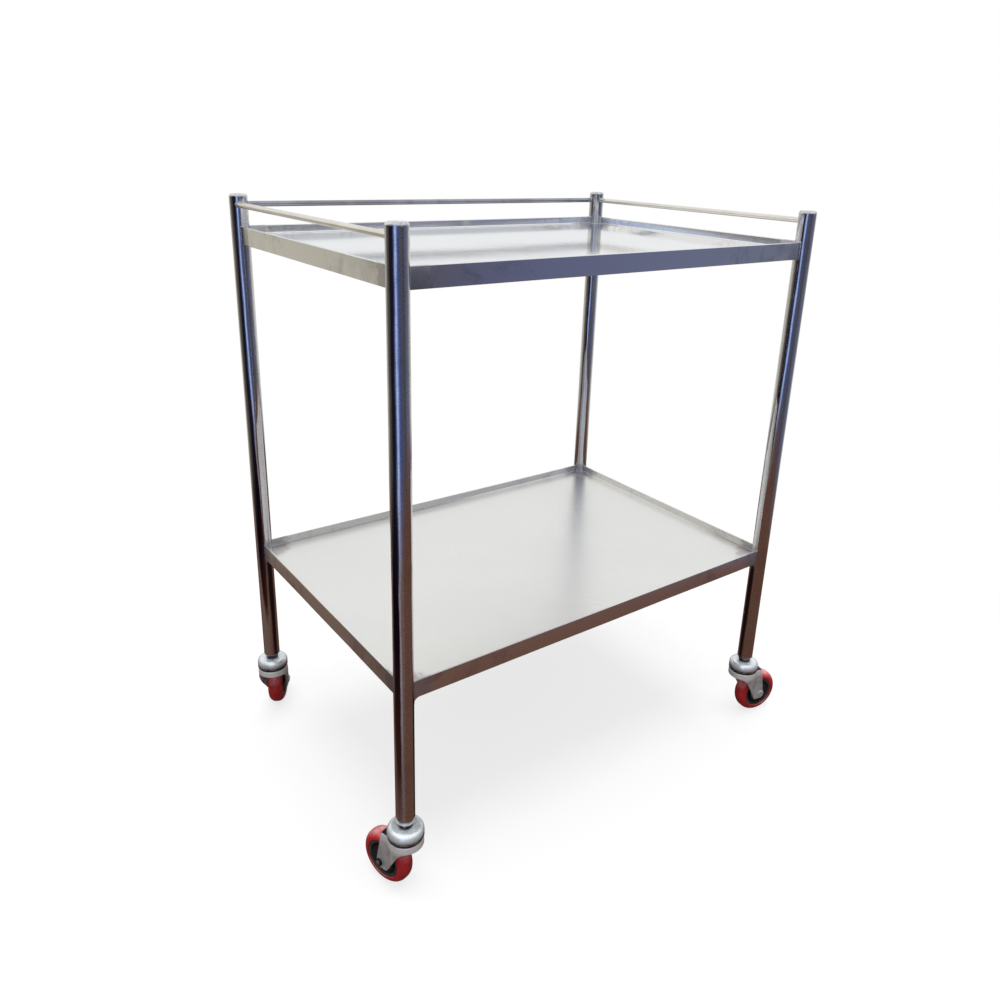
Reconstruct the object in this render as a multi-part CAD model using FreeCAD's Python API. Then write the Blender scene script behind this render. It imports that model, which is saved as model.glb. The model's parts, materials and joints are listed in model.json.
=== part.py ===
import FreeCAD, Part
import math
import os

# Two-shelf stainless steel equipment trolley on four swivel casters.
# Millimetres. +X runs along the long side, the open side faces -Y, +Z is up.
# The origin lies on the floor, midway between the four posts.

# Posts and guard rails
POST_DIAMETER = 25.4
POST_WALL = 1.2
POST_LENGTH = 750.0
POST_PITCH_X = 675.0
POST_PITCH_Y = 460.0
CAP_HEIGHT = 4.0
CAP_EDGE_RADIUS = 3.5
CAP_SPIGOT = 8.0
INSERT_LENGTH = 30.0
RAIL_DIAMETER = 8.0
RAIL_DROP = 14.5
RAIL_OUTSET = 4.0
WELD_GAP = 0.05

# Shelves, each one folded sheet with a raised rim and an apron
SHEET = 1.0
RIM_DROP = 44.0
SHELF_SPACING = 499.0
SHELF_OUTSET = 4.0
RIM_WIDTH = 3.0
WELL_DEPTH = 12.0
APRON_HEIGHT = 25.0
APRON_RETURN = 8.0
RIM_RADIUS = 1.0
WELL_RADIUS = 2.0
FLARE = 8.0
CHANNEL_WIDTH = 60.0
CHANNEL_DEPTH = 14.0
CHANNEL_FLANGE = 15.0
CHANNEL_SHEET = 1.2
CHANNEL_END_GAP = 40.0

# Caster wheel
WHEEL_DIAMETER = 76.2
TYRE_WIDTH = 24.5
TYRE_THICKNESS = 11.1
TYRE_SHOULDER = 6.5
CORE_WIDTH = 23.0
CORE_LIP = 4.5
GROOVE_WIDTH = 4.0
GROOVE_DEPTH = 5.0
AXLE_DIAMETER = 6.0
BUSH_WALL = 2.0
RUNNING_GAP = 0.05
END_GAP = 0.1

# Caster fork, pressed from one sheet
TRAIL = 31.8
FORK_SHEET = 2.3
FORK_INSIDE = 30.4
CROWN_RADIUS = 24.0
WAIST_RADIUS = 8.0
WHEEL_CLEARANCE = 11.0
CROWN_SKIRT = 11.0
CROWN_EDGE = 1.6
PLATE_REAR = 27.5
FOOT_REAR = 7.3
FOOT_FRONT = 12.3
FOOT_DROP = 8.9
FOOT_REAR_RADIUS = 6.0
FOOT_FRONT_RADIUS = 3.0
LEG_FRONT_TOP = 10.6
LEG_FRONT_RADIUS = 15.0
AXLE_HEAD_DIAMETER = 12.0
AXLE_HEAD_HEIGHT = 1.8
AXLE_NUT_ACROSS = 10.0
AXLE_NUT_HEIGHT = 3.2
AXLE_THREAD_END = 0.6

# Caster swivel head
STEM_DIAMETER = 10.0
STEM_NUT_ACROSS = 17.0
STEM_NUT_HEIGHT = 6.3
COLLAR_DIAMETER = 19.0
COLLAR_HEIGHT = 2.0
RACE_RADIUS = 24.5
RACE_HEIGHT = 15.0
RACE_SHOULDER = 8.0
RACE_SHEET = 2.0
RACE_GAP = 1.5
BALL_DIAMETER = 6.35
TRACK_HALF_WIDTH = 1.6
BOSS_SLOPE = 1.5
CROWN_HOLE_RADIUS = 8.2
LOWER_BALL_DIAMETER = 4.76
LOWER_BALL_GAP = 0.2
LOWER_RACE_OVERLAP = 2.6
LOWER_RACE_SHEET = 2.0
STEM_HEAD_DIAMETER = 15.0
STEM_HEAD_HEIGHT = 2.0

# Swivel of each caster as the trolley stands, from +X towards +Y, in degrees
SWIVEL = {"front_left": 107.0, "front_right": -12.0, "rear_left": 58.0, "rear_right": 35.0}
CORNERS = {"front_left": (-1, -1), "front_right": (1, -1), "rear_left": (-1, 1), "rear_right": (1, 1)}

# Levels above the floor, from the wheel up
AXLE_Z = WHEEL_DIAMETER / 2
PLATE_LOW = WHEEL_DIAMETER + WHEEL_CLEARANCE
PLATE_TOP = PLATE_LOW + FORK_SHEET
RACE_LOW = PLATE_TOP + RACE_GAP
RACE_TOP = RACE_LOW + RACE_HEIGHT
COLLAR_TOP = RACE_TOP + COLLAR_HEIGHT
TUBE_END = COLLAR_TOP + STEM_NUT_HEIGHT
POST_TOP = TUBE_END + POST_LENGTH
UPPER_RIM = POST_TOP - RIM_DROP
LOWER_RIM = UPPER_RIM - SHELF_SPACING
RAIL_Z = POST_TOP - RAIL_DROP

# Sizes that follow from the ones above
POST_RADIUS = POST_DIAMETER / 2
POST_BORE = POST_RADIUS - POST_WALL
SHELF_X = POST_PITCH_X / 2 + SHELF_OUTSET
SHELF_Y = POST_PITCH_Y / 2 + SHELF_OUTSET
STEM_RADIUS = STEM_DIAMETER / 2
AXLE_RADIUS = AXLE_DIAMETER / 2
LEG_INNER = FORK_INSIDE / 2
LEG_OUTER = LEG_INNER + FORK_SHEET
TYRE_BORE = WHEEL_DIAMETER / 2 - TYRE_THICKNESS

# Each rounding on a turned piece is cut as this many flats
ROUND_FLATS = 2

# The share of a slanted distance that lies along each axis at 45 degrees
DIAGONAL = math.sqrt(0.5)

# Points and levels nearer than this are the same
SAME = 0.001

V = FreeCAD.Vector
UP = V(0, 0, 1)


def upright(a, b):
    """A profile point on the XZ plane, to turn about the Z axis."""
    return V(a, 0, b)


def flat(a, b):
    """A plan point on the XY plane."""
    return V(a, b, 0)


def across(a, b):
    """A section point on the YZ plane, to run along X."""
    return V(0, a, b)


def rounding(before, corner, after, radius, share):
    """The point at this share of the way round a corner's rounding."""
    back = (before - corner).normalize()
    ahead = (after - corner).normalize()
    half = back.getAngle(ahead) / 2
    middle = corner + (back + ahead).normalize() * (radius / math.sin(half))
    spoke = corner + back * (radius / math.tan(half)) - middle
    turn = (math.pi - 2 * half) * share
    if back.cross(ahead).z > 0:
        turn = -turn
    across_spoke = UP.cross(spoke)
    return middle + spoke * math.cos(turn) + across_spoke * math.sin(turn)


def outline(corners, to_space, flats=0):
    """A closed wire through (a, b, radius) corners, rounded by arcs, or by this many flats each."""
    places = [V(a, b, 0) for a, b, radius in corners]
    edges = []
    last = None
    first = None
    for i, (a, b, radius) in enumerate(corners):
        before, after = places[i - 1], places[(i + 1) % len(places)]
        shares = [k / flats for k in range(flats + 1)] if flats else [0, 0.5, 1]
        points = [rounding(before, places[i], after, radius, s) for s in shares] if radius else [places[i]]
        points = [to_space(p.x, p.y) for p in points]
        if last is not None and (points[0] - last).Length > SAME:
            edges.append(Part.LineSegment(last, points[0]).toShape())
        if radius and flats:
            edges += [Part.LineSegment(p, q).toShape() for p, q in zip(points, points[1:])]
        elif radius:
            edges.append(Part.Arc(*points).toShape())
        first = first or points[0]
        last = points[-1]
    if (first - last).Length > SAME:
        edges.append(Part.LineSegment(last, first).toShape())
    return Part.Wire(edges)


def turned(points):
    """A solid of revolution of a profile about the Z axis."""
    return Part.Face(outline(points, upright, ROUND_FLATS)).revolve(V(0, 0, 0), UP, 360)


def sleeve(outer, inner, low, high):
    """A plain round sleeve about Z."""
    return turned([(inner, low, 0), (outer, low, 0), (outer, high, 0), (inner, high, 0)])


def hexagon(across_flats, bore, low, high):
    """A hexagon nut about Z."""
    radius = across_flats / math.sqrt(3)
    turns = [math.radians(60 * i) for i in range(6)]
    corners = [(radius * math.cos(t), radius * math.sin(t), 0) for t in turns]
    body = Part.Face(outline(corners, flat)).extrude(UP * (high - low))
    body.translate(UP * low)
    return body.cut(Part.makeCylinder(bore, high - low, UP * low))


def corner_point(corner):
    """Where a corner's post and caster stem stand on the floor."""
    sx, sy = CORNERS[corner]
    return V(sx * POST_PITCH_X / 2, sy * POST_PITCH_Y / 2, 0)


def at_corner(shape, corner):
    """A copy of a shape moved from the origin to a corner's post."""
    moved = shape.copy()
    moved.translate(corner_point(corner))
    return moved


def at_caster(shape, corner):
    """A copy of a caster piece swivelled as it stands and moved to its corner."""
    moved = shape.copy()
    moved.rotate(V(0, 0, 0), UP, SWIVEL[corner])
    moved.translate(corner_point(corner))
    return moved


def at_every_corner(shape):
    """The same piece at all four posts, as one group of separate solids."""
    return Part.makeCompound([at_corner(shape, corner) for corner in CORNERS])


def post():
    """One round tube, open at both ends."""
    return sleeve(POST_RADIUS, POST_BORE, TUBE_END, POST_TOP - CAP_HEIGHT)


def post_cap():
    """The closed top of a post: a flat disc with a rounded edge and a spigot in the tube."""
    seat = POST_TOP - CAP_HEIGHT
    spigot = POST_BORE - WELD_GAP
    return turned([
        (0, seat - CAP_SPIGOT, 0),
        (spigot, seat - CAP_SPIGOT, 0),
        (spigot, seat, 0),
        (POST_RADIUS, seat, 0),
        (POST_RADIUS, POST_TOP, CAP_EDGE_RADIUS),
        (0, POST_TOP, 0),
    ])


def tube_end_insert():
    """The threaded plug in a tube's lower end, which takes the caster stem."""
    return sleeve(POST_BORE - WELD_GAP, STEM_RADIUS + RUNNING_GAP, TUBE_END, TUBE_END + INSERT_LENGTH)


def rail(start, end):
    """A round rod from one point to another, coped to the posts that it meets."""
    rod = Part.makeCylinder(RAIL_DIAMETER / 2, (end - start).Length, start, end - start)
    for corner in CORNERS:
        rod = rod.cut(post_space(corner))
    return rod


def post_space(corner):
    """The round space that a post fills, with its weld gap."""
    return Part.makeCylinder(POST_RADIUS + WELD_GAP, POST_TOP, corner_point(corner))


def guard_rails():
    """The three rails: left, rear and right. The front stays open."""
    x = POST_PITCH_X / 2 + RAIL_OUTSET
    y = POST_PITCH_Y / 2 + RAIL_OUTSET
    front = -POST_PITCH_Y / 2
    side = POST_PITCH_X / 2
    return {
        "left_guard_rail": rail(V(-x, front, RAIL_Z), V(-x, -front, RAIL_Z)),
        "rear_guard_rail": rail(V(-side, y, RAIL_Z), V(side, y, RAIL_Z)),
        "right_guard_rail": rail(V(x, front, RAIL_Z), V(x, -front, RAIL_Z)),
    }


def rim_section(edge, top):
    """The folded rim of one shelf side: upstand, narrow top, apron and its return."""
    deck = top - WELL_DEPTH
    return outline([
        (edge, top - APRON_HEIGHT, RIM_RADIUS),
        (edge, top, RIM_RADIUS),
        (edge - RIM_WIDTH, top, RIM_RADIUS),
        (edge - RIM_WIDTH, deck, WELL_RADIUS),
        (edge - RIM_WIDTH - 2 * WELL_RADIUS, deck, 0),
        (edge - RIM_WIDTH - 2 * WELL_RADIUS, deck - SHEET, 0),
        (edge - RIM_WIDTH + SHEET, deck - SHEET, WELL_RADIUS + SHEET),
        (edge - RIM_WIDTH + SHEET, top - SHEET, 0),
        (edge - SHEET, top - SHEET, 0),
        (edge - SHEET, top - APRON_HEIGHT + SHEET, 0),
        (edge - APRON_RETURN, top - APRON_HEIGHT + SHEET, 0),
        (edge - APRON_RETURN, top - APRON_HEIGHT, 0),
    ], across)


def rim_side(edge, length, top, angle):
    """One side's rim, run between two posts and turned to its side of the shelf."""
    side = Part.Face(rim_section(edge, top)).extrude(V(length, 0, 0))
    side.translate(V(-length / 2, 0, 0))
    side.rotate(V(0, 0, 0), UP, angle)
    return side


def weld_flares(top, drop):
    """The small curved plates where an apron's lower edge runs down into each post."""
    low = top - APRON_HEIGHT
    plates = []
    for edge, half, angle in ((SHELF_Y, POST_PITCH_X / 2, 0), (SHELF_X, POST_PITCH_Y / 2, 90)):
        post_face = half - POST_RADIUS
        corner = V(post_face, 0, low)
        far = V(post_face - drop, 0, low)
        down = V(post_face, 0, low - drop)
        bulge = drop * (1 - DIAGONAL)
        middle = V(post_face - bulge, 0, low - bulge)
        inside = V(half, 0, low - drop)
        top_inside = V(half, 0, low + RIM_RADIUS)
        top_far = V(post_face - drop, 0, low + RIM_RADIUS)
        wire = Part.Wire([
            Part.Arc(far, middle, down).toShape(),
            Part.LineSegment(down, inside).toShape(),
            Part.LineSegment(inside, top_inside).toShape(),
            Part.LineSegment(top_inside, top_far).toShape(),
            Part.LineSegment(top_far, far).toShape(),
        ])
        plate = Part.Face(wire).extrude(V(0, SHEET, 0))
        plate.translate(V(0, edge - SHEET, 0))
        for turn in (angle, angle + 180):
            for flipped in (plate, plate.mirror(V(0, 0, 0), V(1, 0, 0))):
                piece = flipped.copy()
                piece.rotate(V(0, 0, 0), UP, turn)
                plates.append(piece)
    return plates


def shelf(top, flare):
    """One shelf: a flat deck in a raised rim with an apron, notched for the posts."""
    deck = top - WELL_DEPTH
    reach_x = SHELF_X - RIM_WIDTH - WELL_RADIUS
    reach_y = SHELF_Y - RIM_WIDTH - WELL_RADIUS
    plate = Part.makeBox(2 * reach_x, 2 * reach_y, SHEET, V(-reach_x, -reach_y, deck - SHEET))
    sides = [
        rim_side(SHELF_Y, POST_PITCH_X, top, 0),
        rim_side(SHELF_Y, POST_PITCH_X, top, 180),
        rim_side(SHELF_X, POST_PITCH_Y, top, 90),
        rim_side(SHELF_X, POST_PITCH_Y, top, 270),
    ]
    extras = weld_flares(top, flare) if flare > 0 else []
    body = plate.multiFuse(sides + extras)
    for corner in CORNERS:
        body = body.cut(post_space(corner))
    return body.removeSplitter()


def stiffener(top):
    """The hat channel under a deck, open downwards at its flanges and closed below."""
    under = top - WELL_DEPTH - SHEET
    half = CHANNEL_WIDTH / 2
    web = half - CHANNEL_SHEET
    foot = half + CHANNEL_FLANGE
    low = under - CHANNEL_DEPTH
    bend = CHANNEL_SHEET
    section = outline([
        (-foot, under, 0),
        (-foot, under - CHANNEL_SHEET, 0),
        (-half, under - CHANNEL_SHEET, 0),
        (-half, low, bend),
        (half, low, bend),
        (half, under - CHANNEL_SHEET, 0),
        (foot, under - CHANNEL_SHEET, 0),
        (foot, under, 0),
        (web, under, 0),
        (web, low + CHANNEL_SHEET, 0),
        (-web, low + CHANNEL_SHEET, 0),
        (-web, under, 0),
    ], across)
    length = 2 * (SHELF_X - APRON_RETURN - CHANNEL_END_GAP)
    channel = Part.Face(section).extrude(V(length, 0, 0))
    channel.translate(V(-length / 2, 0, 0))
    return channel


def ball_centre():
    """The middle of an upper ball, in the race cap's inner shoulder: distance out and height."""
    shoulder_r = RACE_RADIUS - RACE_SHOULDER
    shoulder_z = RACE_TOP - RACE_SHOULDER
    reach = (RACE_SHOULDER - RACE_SHEET - RUNNING_GAP - BALL_DIAMETER / 2) * DIAGONAL
    return shoulder_r + reach, shoulder_z + reach


def boss_top():
    """The level of the flat top of the fork's raised ball track."""
    out, level = ball_centre()
    touch = (BALL_DIAMETER / 2 + RUNNING_GAP) * DIAGONAL
    return level - touch + TRACK_HALF_WIDTH


def lower_ball_level():
    """The level of the lower balls' centres, under the fork's ball track."""
    return PLATE_LOW - LOWER_BALL_GAP - LOWER_BALL_DIAMETER / 2


def ball_ring(radius, level, diameter):
    """A row of balls as one ring whose square section just fits inside a ball."""
    reach = diameter / 2 * DIAGONAL
    return sleeve(radius + reach, radius - reach, level - reach, level + reach)


def swivel_ball_rings():
    """The two ball rows of one swivel head."""
    out, level = ball_centre()
    lower_out = CROWN_HOLE_RADIUS + LOWER_BALL_DIAMETER / 2
    upper = ball_ring(out, level, BALL_DIAMETER)
    lower = ball_ring(lower_out, lower_ball_level(), LOWER_BALL_DIAMETER)
    return [upper, lower]


def lower_race_top():
    """The level of the washer that the lower balls run on."""
    return lower_ball_level() - LOWER_BALL_DIAMETER / 2 * DIAGONAL


def caster_stem():
    """The threaded stem with its collar above the race cap and its riveted lower head."""
    head_top = lower_race_top() - LOWER_RACE_SHEET
    head_low = head_top - STEM_HEAD_HEIGHT
    collar = COLLAR_DIAMETER / 2
    head = STEM_HEAD_DIAMETER / 2
    return turned([
        (0, head_low, 0),
        (head, head_low, 0),
        (head, head_top, 0),
        (STEM_RADIUS, head_top, 0),
        (STEM_RADIUS, RACE_TOP, 0),
        (collar, RACE_TOP, 0),
        (collar, COLLAR_TOP, 0),
        (STEM_RADIUS, COLLAR_TOP, 0),
        (STEM_RADIUS, TUBE_END + INSERT_LENGTH, 0),
        (0, TUBE_END + INSERT_LENGTH, 0),
    ])


def stem_jam_nut():
    """The hexagon nut that locks a stem against the tube's end."""
    return hexagon(STEM_NUT_ACROSS, STEM_RADIUS + RUNNING_GAP, COLLAR_TOP, TUBE_END)


def race_cap():
    """The pressed cup over the upper balls, fixed on the stem."""
    hole = STEM_RADIUS + RUNNING_GAP
    inner = RACE_RADIUS - RACE_SHEET
    return turned([
        (hole, RACE_TOP - RACE_SHEET, 0),
        (inner, RACE_TOP - RACE_SHEET, RACE_SHOULDER - RACE_SHEET),
        (inner, RACE_LOW, 0),
        (RACE_RADIUS, RACE_LOW, 0),
        (RACE_RADIUS, RACE_TOP, RACE_SHOULDER),
        (hole, RACE_TOP, 0),
    ])


def lower_race():
    """The washer under the lower balls, held up by the stem's riveted head."""
    outer = CROWN_HOLE_RADIUS + LOWER_BALL_DIAMETER / 2 + LOWER_RACE_OVERLAP
    top = lower_race_top()
    return sleeve(outer, STEM_RADIUS + RUNNING_GAP, top - LOWER_RACE_SHEET, top)


def fork_plan(inset, rear):
    """The fork's outline from above: a round front, a waist each side and straight cheeks."""
    radius = CROWN_RADIUS - inset
    side = LEG_OUTER - inset
    waist = WAIST_RADIUS + inset
    waist_x = math.sqrt((radius + waist) ** 2 - (side + waist) ** 2)
    reach = radius / (radius + waist)
    join = (waist_x * reach, (side + waist) * reach)
    lean = math.atan2(side + waist - join[1], waist_x - join[0])
    middle = (lean + math.pi / 2) / 2
    bend = (waist_x - waist * math.cos(middle), side + waist - waist * math.sin(middle))

    def arc(*points):
        return Part.Arc(*[flat(*p) for p in points]).toShape()

    def line(start, end):
        return Part.LineSegment(flat(*start), flat(*end)).toShape()

    return Part.Wire([
        arc((join[0], -join[1]), (-radius, 0), join),
        arc(join, bend, (waist_x, side)),
        line((waist_x, side), (rear, side)),
        line((rear, side), (rear, -side)),
        line((rear, -side), (waist_x, -side)),
        arc((waist_x, -side), (bend[0], -bend[1]), (join[0], -join[1])),
    ])


def leg_profile():
    """The fork from the side: the crown's skirt, the raked legs and their rounded feet."""
    foot = AXLE_Z - FOOT_DROP
    above = PLATE_TOP + CROWN_SKIRT
    heel = TRAIL + FOOT_REAR
    rake = (heel - PLATE_REAR) / (PLATE_TOP - foot)
    ahead = -2 * CROWN_RADIUS
    skirt = PLATE_TOP - CROWN_SKIRT
    return outline([
        (ahead, above, 0),
        (ahead, skirt, 0),
        (-LEG_FRONT_TOP, skirt, LEG_FRONT_RADIUS),
        (TRAIL - FOOT_FRONT, foot, FOOT_FRONT_RADIUS),
        (heel, foot, FOOT_REAR_RADIUS),
        (PLATE_REAR - rake * (above - PLATE_TOP), above, 0),
    ], upright)


def ball_track():
    """The raised middle of the crown, with a sloping track for the upper balls."""
    out, level = ball_centre()
    touch = (BALL_DIAMETER / 2 + RUNNING_GAP) * DIAGONAL
    track = out - touch
    foot = track + TRACK_HALF_WIDTH + BOSS_SLOPE
    return turned([
        (CROWN_HOLE_RADIUS, PLATE_LOW, 0),
        (foot, PLATE_LOW, 0),
        (foot, PLATE_TOP, 0),
        (track + TRACK_HALF_WIDTH, level - touch - TRACK_HALF_WIDTH, 0),
        (track - TRACK_HALF_WIDTH, boss_top(), 0),
        (CROWN_HOLE_RADIUS, boss_top(), 0),
    ])


def fork():
    """The pressed fork: crown plate, skirt, two raked legs and the raised ball track."""
    foot = AXLE_Z - FOOT_DROP
    rear = TRAIL + 2 * FOOT_REAR
    height = PLATE_TOP - foot
    wall = Part.Face([fork_plan(0, rear)]).extrude(UP * height)
    wall.translate(UP * foot)
    hollow = Part.Face([fork_plan(FORK_SHEET, rear + FORK_SHEET)]).extrude(UP * (PLATE_LOW - foot))
    hollow.translate(UP * foot)
    side_view = Part.Face(leg_profile()).extrude(V(0, 4 * CROWN_RADIUS, 0))
    side_view.translate(V(0, -2 * CROWN_RADIUS, 0))
    body = wall.cut(hollow).common(side_view)
    top_edges = [e for e in body.Edges if on_crown_edge(e)]
    body = body.makeChamfer(CROWN_EDGE, top_edges)
    body = body.cut(Part.makeCylinder(CROWN_HOLE_RADIUS, 2 * FORK_SHEET, UP * (PLATE_LOW - FORK_SHEET / 2)))
    body = body.fuse(ball_track())
    start = V(TRAIL, -2 * LEG_OUTER, AXLE_Z)
    axle_hole = Part.makeCylinder(AXLE_RADIUS + RUNNING_GAP, 4 * LEG_OUTER, start, V(0, 1, 0))
    return body.cut(axle_hole).removeSplitter()


def on_crown_edge(edge):
    """True for the plate's top edges round the front, the waists and the cheeks."""
    middle = edge.valueAt((edge.FirstParameter + edge.LastParameter) / 2)
    heights = [v.Z for v in edge.Vertexes] + [middle.z]
    level = all(abs(z - PLATE_TOP) < SAME for z in heights)
    return level and middle.x < PLATE_REAR - FORK_SHEET


def along_axle(shape):
    """Turn a piece made about Z so that it lies on the axle's line."""
    shape.rotate(V(0, 0, 0), V(1, 0, 0), -90)
    shape.translate(V(TRAIL, 0, AXLE_Z))
    return shape


def axle_bolt():
    """The axle, with a low round head outside one cheek and a thread end past the nut."""
    head = -LEG_OUTER - AXLE_HEAD_HEIGHT
    end = LEG_OUTER + AXLE_NUT_HEIGHT + AXLE_THREAD_END
    dimple = AXLE_RADIUS / 2
    return along_axle(turned([
        (0, head + dimple, 0),
        (dimple, head, 0),
        (AXLE_HEAD_DIAMETER / 2, head, 0),
        (AXLE_HEAD_DIAMETER / 2, -LEG_OUTER, 0),
        (AXLE_RADIUS, -LEG_OUTER, 0),
        (AXLE_RADIUS, end, 0),
        (0, end, 0),
    ]))


def axle_nut():
    """The hexagon nut on the axle's other end."""
    bore = AXLE_RADIUS + RUNNING_GAP
    return along_axle(hexagon(AXLE_NUT_ACROSS, bore, LEG_OUTER, LEG_OUTER + AXLE_NUT_HEIGHT))


def hub_bush():
    """The steel bush that turns on the axle between the cheeks."""
    half = LEG_INNER - END_GAP
    inner = AXLE_RADIUS + RUNNING_GAP
    return along_axle(sleeve(inner + BUSH_WALL, inner, -half, half))


def wheel_core():
    """The moulded wheel centre: an outer lip, a groove each side and a solid web."""
    bore = AXLE_RADIUS + RUNNING_GAP + BUSH_WALL
    half = CORE_WIDTH / 2
    lip = TYRE_BORE - CORE_LIP
    disc = lip - GROOVE_WIDTH
    floor = half - GROOVE_DEPTH
    return along_axle(turned([
        (bore, -half, 0),
        (disc, -half, 0),
        (disc, -floor, 0),
        (lip, -floor, 0),
        (lip, -half, 0),
        (TYRE_BORE, -half, 0),
        (TYRE_BORE, half, 0),
        (lip, half, 0),
        (lip, floor, 0),
        (disc, floor, 0),
        (disc, half, 0),
        (bore, half, 0),
    ]))


def tyre():
    """The tyre, with straight side walls and rounded shoulders."""
    radius = WHEEL_DIAMETER / 2
    half = TYRE_WIDTH / 2
    return along_axle(turned([
        (TYRE_BORE, -half, 0),
        (radius, -half, TYRE_SHOULDER),
        (radius, half, TYRE_SHOULDER),
        (TYRE_BORE, half, 0),
    ]))


def build():
    """Every sub-part by its node's name."""
    nodes = {}
    for corner in CORNERS:
        nodes["post_" + corner] = at_corner(post(), corner)
    nodes["post_caps"] = at_every_corner(post_cap())
    nodes["tube_end_inserts"] = at_every_corner(tube_end_insert())
    nodes.update(guard_rails())
    nodes["upper_tray"] = shelf(UPPER_RIM, 0)
    nodes["lower_tray"] = shelf(LOWER_RIM, FLARE)
    nodes["upper_tray_stiffener"] = stiffener(UPPER_RIM)
    nodes["lower_tray_stiffener"] = stiffener(LOWER_RIM)
    nodes["stem_jam_nuts"] = at_every_corner(stem_jam_nut())
    nodes["lower_races"] = at_every_corner(lower_race())
    rings = [at_corner(ring, corner) for corner in CORNERS for ring in swivel_ball_rings()]
    nodes["swivel_ball_rings"] = Part.makeCompound(rings)
    nodes["caster_stems"] = at_every_corner(caster_stem())
    nodes["race_caps"] = at_every_corner(race_cap())
    pieces = {
        "fork": fork(),
        "axle_bolt": axle_bolt(),
        "axle_nut": axle_nut(),
        "hub_bush": hub_bush(),
        "wheel_core": wheel_core(),
        "tyre": tyre(),
    }
    for corner in CORNERS:
        for name, shape in pieces.items():
            nodes[name + "_" + corner] = at_caster(shape, corner)
    return nodes


os.makedirs("parts", exist_ok=True)
for node, shape in build().items():
    shape.exportStep("parts/" + node + ".step")
    print(node, len(shape.Solids), "solids, valid", shape.isValid(), "volume", round(shape.Volume))
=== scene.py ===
import json
import math
from types import SimpleNamespace

import bmesh
import bpy
import numpy as np
from mathutils import Matrix, Vector


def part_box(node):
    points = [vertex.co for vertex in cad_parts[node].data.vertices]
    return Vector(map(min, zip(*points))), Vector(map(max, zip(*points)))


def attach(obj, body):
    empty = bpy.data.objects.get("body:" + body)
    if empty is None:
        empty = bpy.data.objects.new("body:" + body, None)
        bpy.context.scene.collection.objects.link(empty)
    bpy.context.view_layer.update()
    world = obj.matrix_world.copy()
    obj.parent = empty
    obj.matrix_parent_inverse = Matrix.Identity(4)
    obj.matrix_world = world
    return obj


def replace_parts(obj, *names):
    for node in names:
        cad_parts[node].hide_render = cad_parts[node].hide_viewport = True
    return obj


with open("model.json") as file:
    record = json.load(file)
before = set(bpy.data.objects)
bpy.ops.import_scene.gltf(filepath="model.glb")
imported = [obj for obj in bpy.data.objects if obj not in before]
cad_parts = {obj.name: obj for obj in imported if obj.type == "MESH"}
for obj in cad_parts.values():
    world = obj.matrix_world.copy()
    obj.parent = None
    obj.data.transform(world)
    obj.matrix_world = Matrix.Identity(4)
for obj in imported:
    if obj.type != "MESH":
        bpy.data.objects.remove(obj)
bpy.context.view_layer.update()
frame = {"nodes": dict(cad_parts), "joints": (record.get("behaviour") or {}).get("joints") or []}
scene = bpy.context.scene
scene.view_settings.view_transform = "Standard"
mm = 0.001
print("frame loaded:", len(frame["nodes"]), "nodes")


# Where the corners are and how each caster is turned, read from the joints
cornerNames = ["front_left", "front_right", "rear_left", "rear_right"]
jointOf = {joint["name"]: joint for joint in frame["joints"]}
stemAt = {c: jointOf["swivel_" + c]["pos_m"][:2] for c in cornerNames}
rollAxis = {c: jointOf["roll_" + c]["axis"] for c in cornerNames}
yawOf = {c: math.atan2(-rollAxis[c][0], rollAxis[c][1]) for c in cornerNames}
axleHeight = jointOf["roll_front_left"]["pos_m"][2]
trail = math.dist(stemAt["front_left"], jointOf["roll_front_left"]["pos_m"][:2])
pitchX, pitchY = abs(stemAt["front_left"][0]), abs(stemAt["front_left"][1])
postLow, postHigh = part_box("post_front_left")
tubeRadius = (postHigh.x - postLow.x) / 2


# Placement of a piece made about the origin: at a post, on a swivelled caster, or along its axle
def postPlace(corner):
    return Matrix.Translation((*stemAt[corner], 0))


def casterPlace(corner):
    return postPlace(corner) @ Matrix.Rotation(yawOf[corner], 4, "Z")


def axlePlace(corner):
    axle = Matrix.Translation((trail, 0, axleHeight)) @ Matrix.Rotation(-math.pi / 2, 4, "X")
    return casterPlace(corner) @ axle


def turned(degrees):
    return Matrix.Rotation(math.radians(degrees), 4, "Z")


# Quads of a grid of rows x cols points, joined round the columns if it wraps
def gridFaces(rows, cols, wrap=False):
    across = cols if wrap else cols - 1
    r, c = np.meshgrid(np.arange(rows - 1), np.arange(across), indexing="ij")
    a = r * cols + c
    b = r * cols + (c + 1) % cols
    return np.stack([a, b, b + cols, a + cols], -1).reshape(-1, 4)


# Several (points, faces) surfaces as one
def joined(parts):
    starts = np.cumsum([0] + [len(p) for p, f in parts[:-1]])
    points = np.concatenate([p for p, f in parts])
    faces = np.concatenate([f + s for (p, f), s in zip(parts, starts)])
    return points, faces


# Surfaces are worked out in millimetres about the origin, and this puts one in the frame, in metres
def placed(part, place=Matrix()):
    points, faces = part
    m = np.array(place)
    return points * mm @ m[:3, :3].T + m[:3, 3], faces


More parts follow.
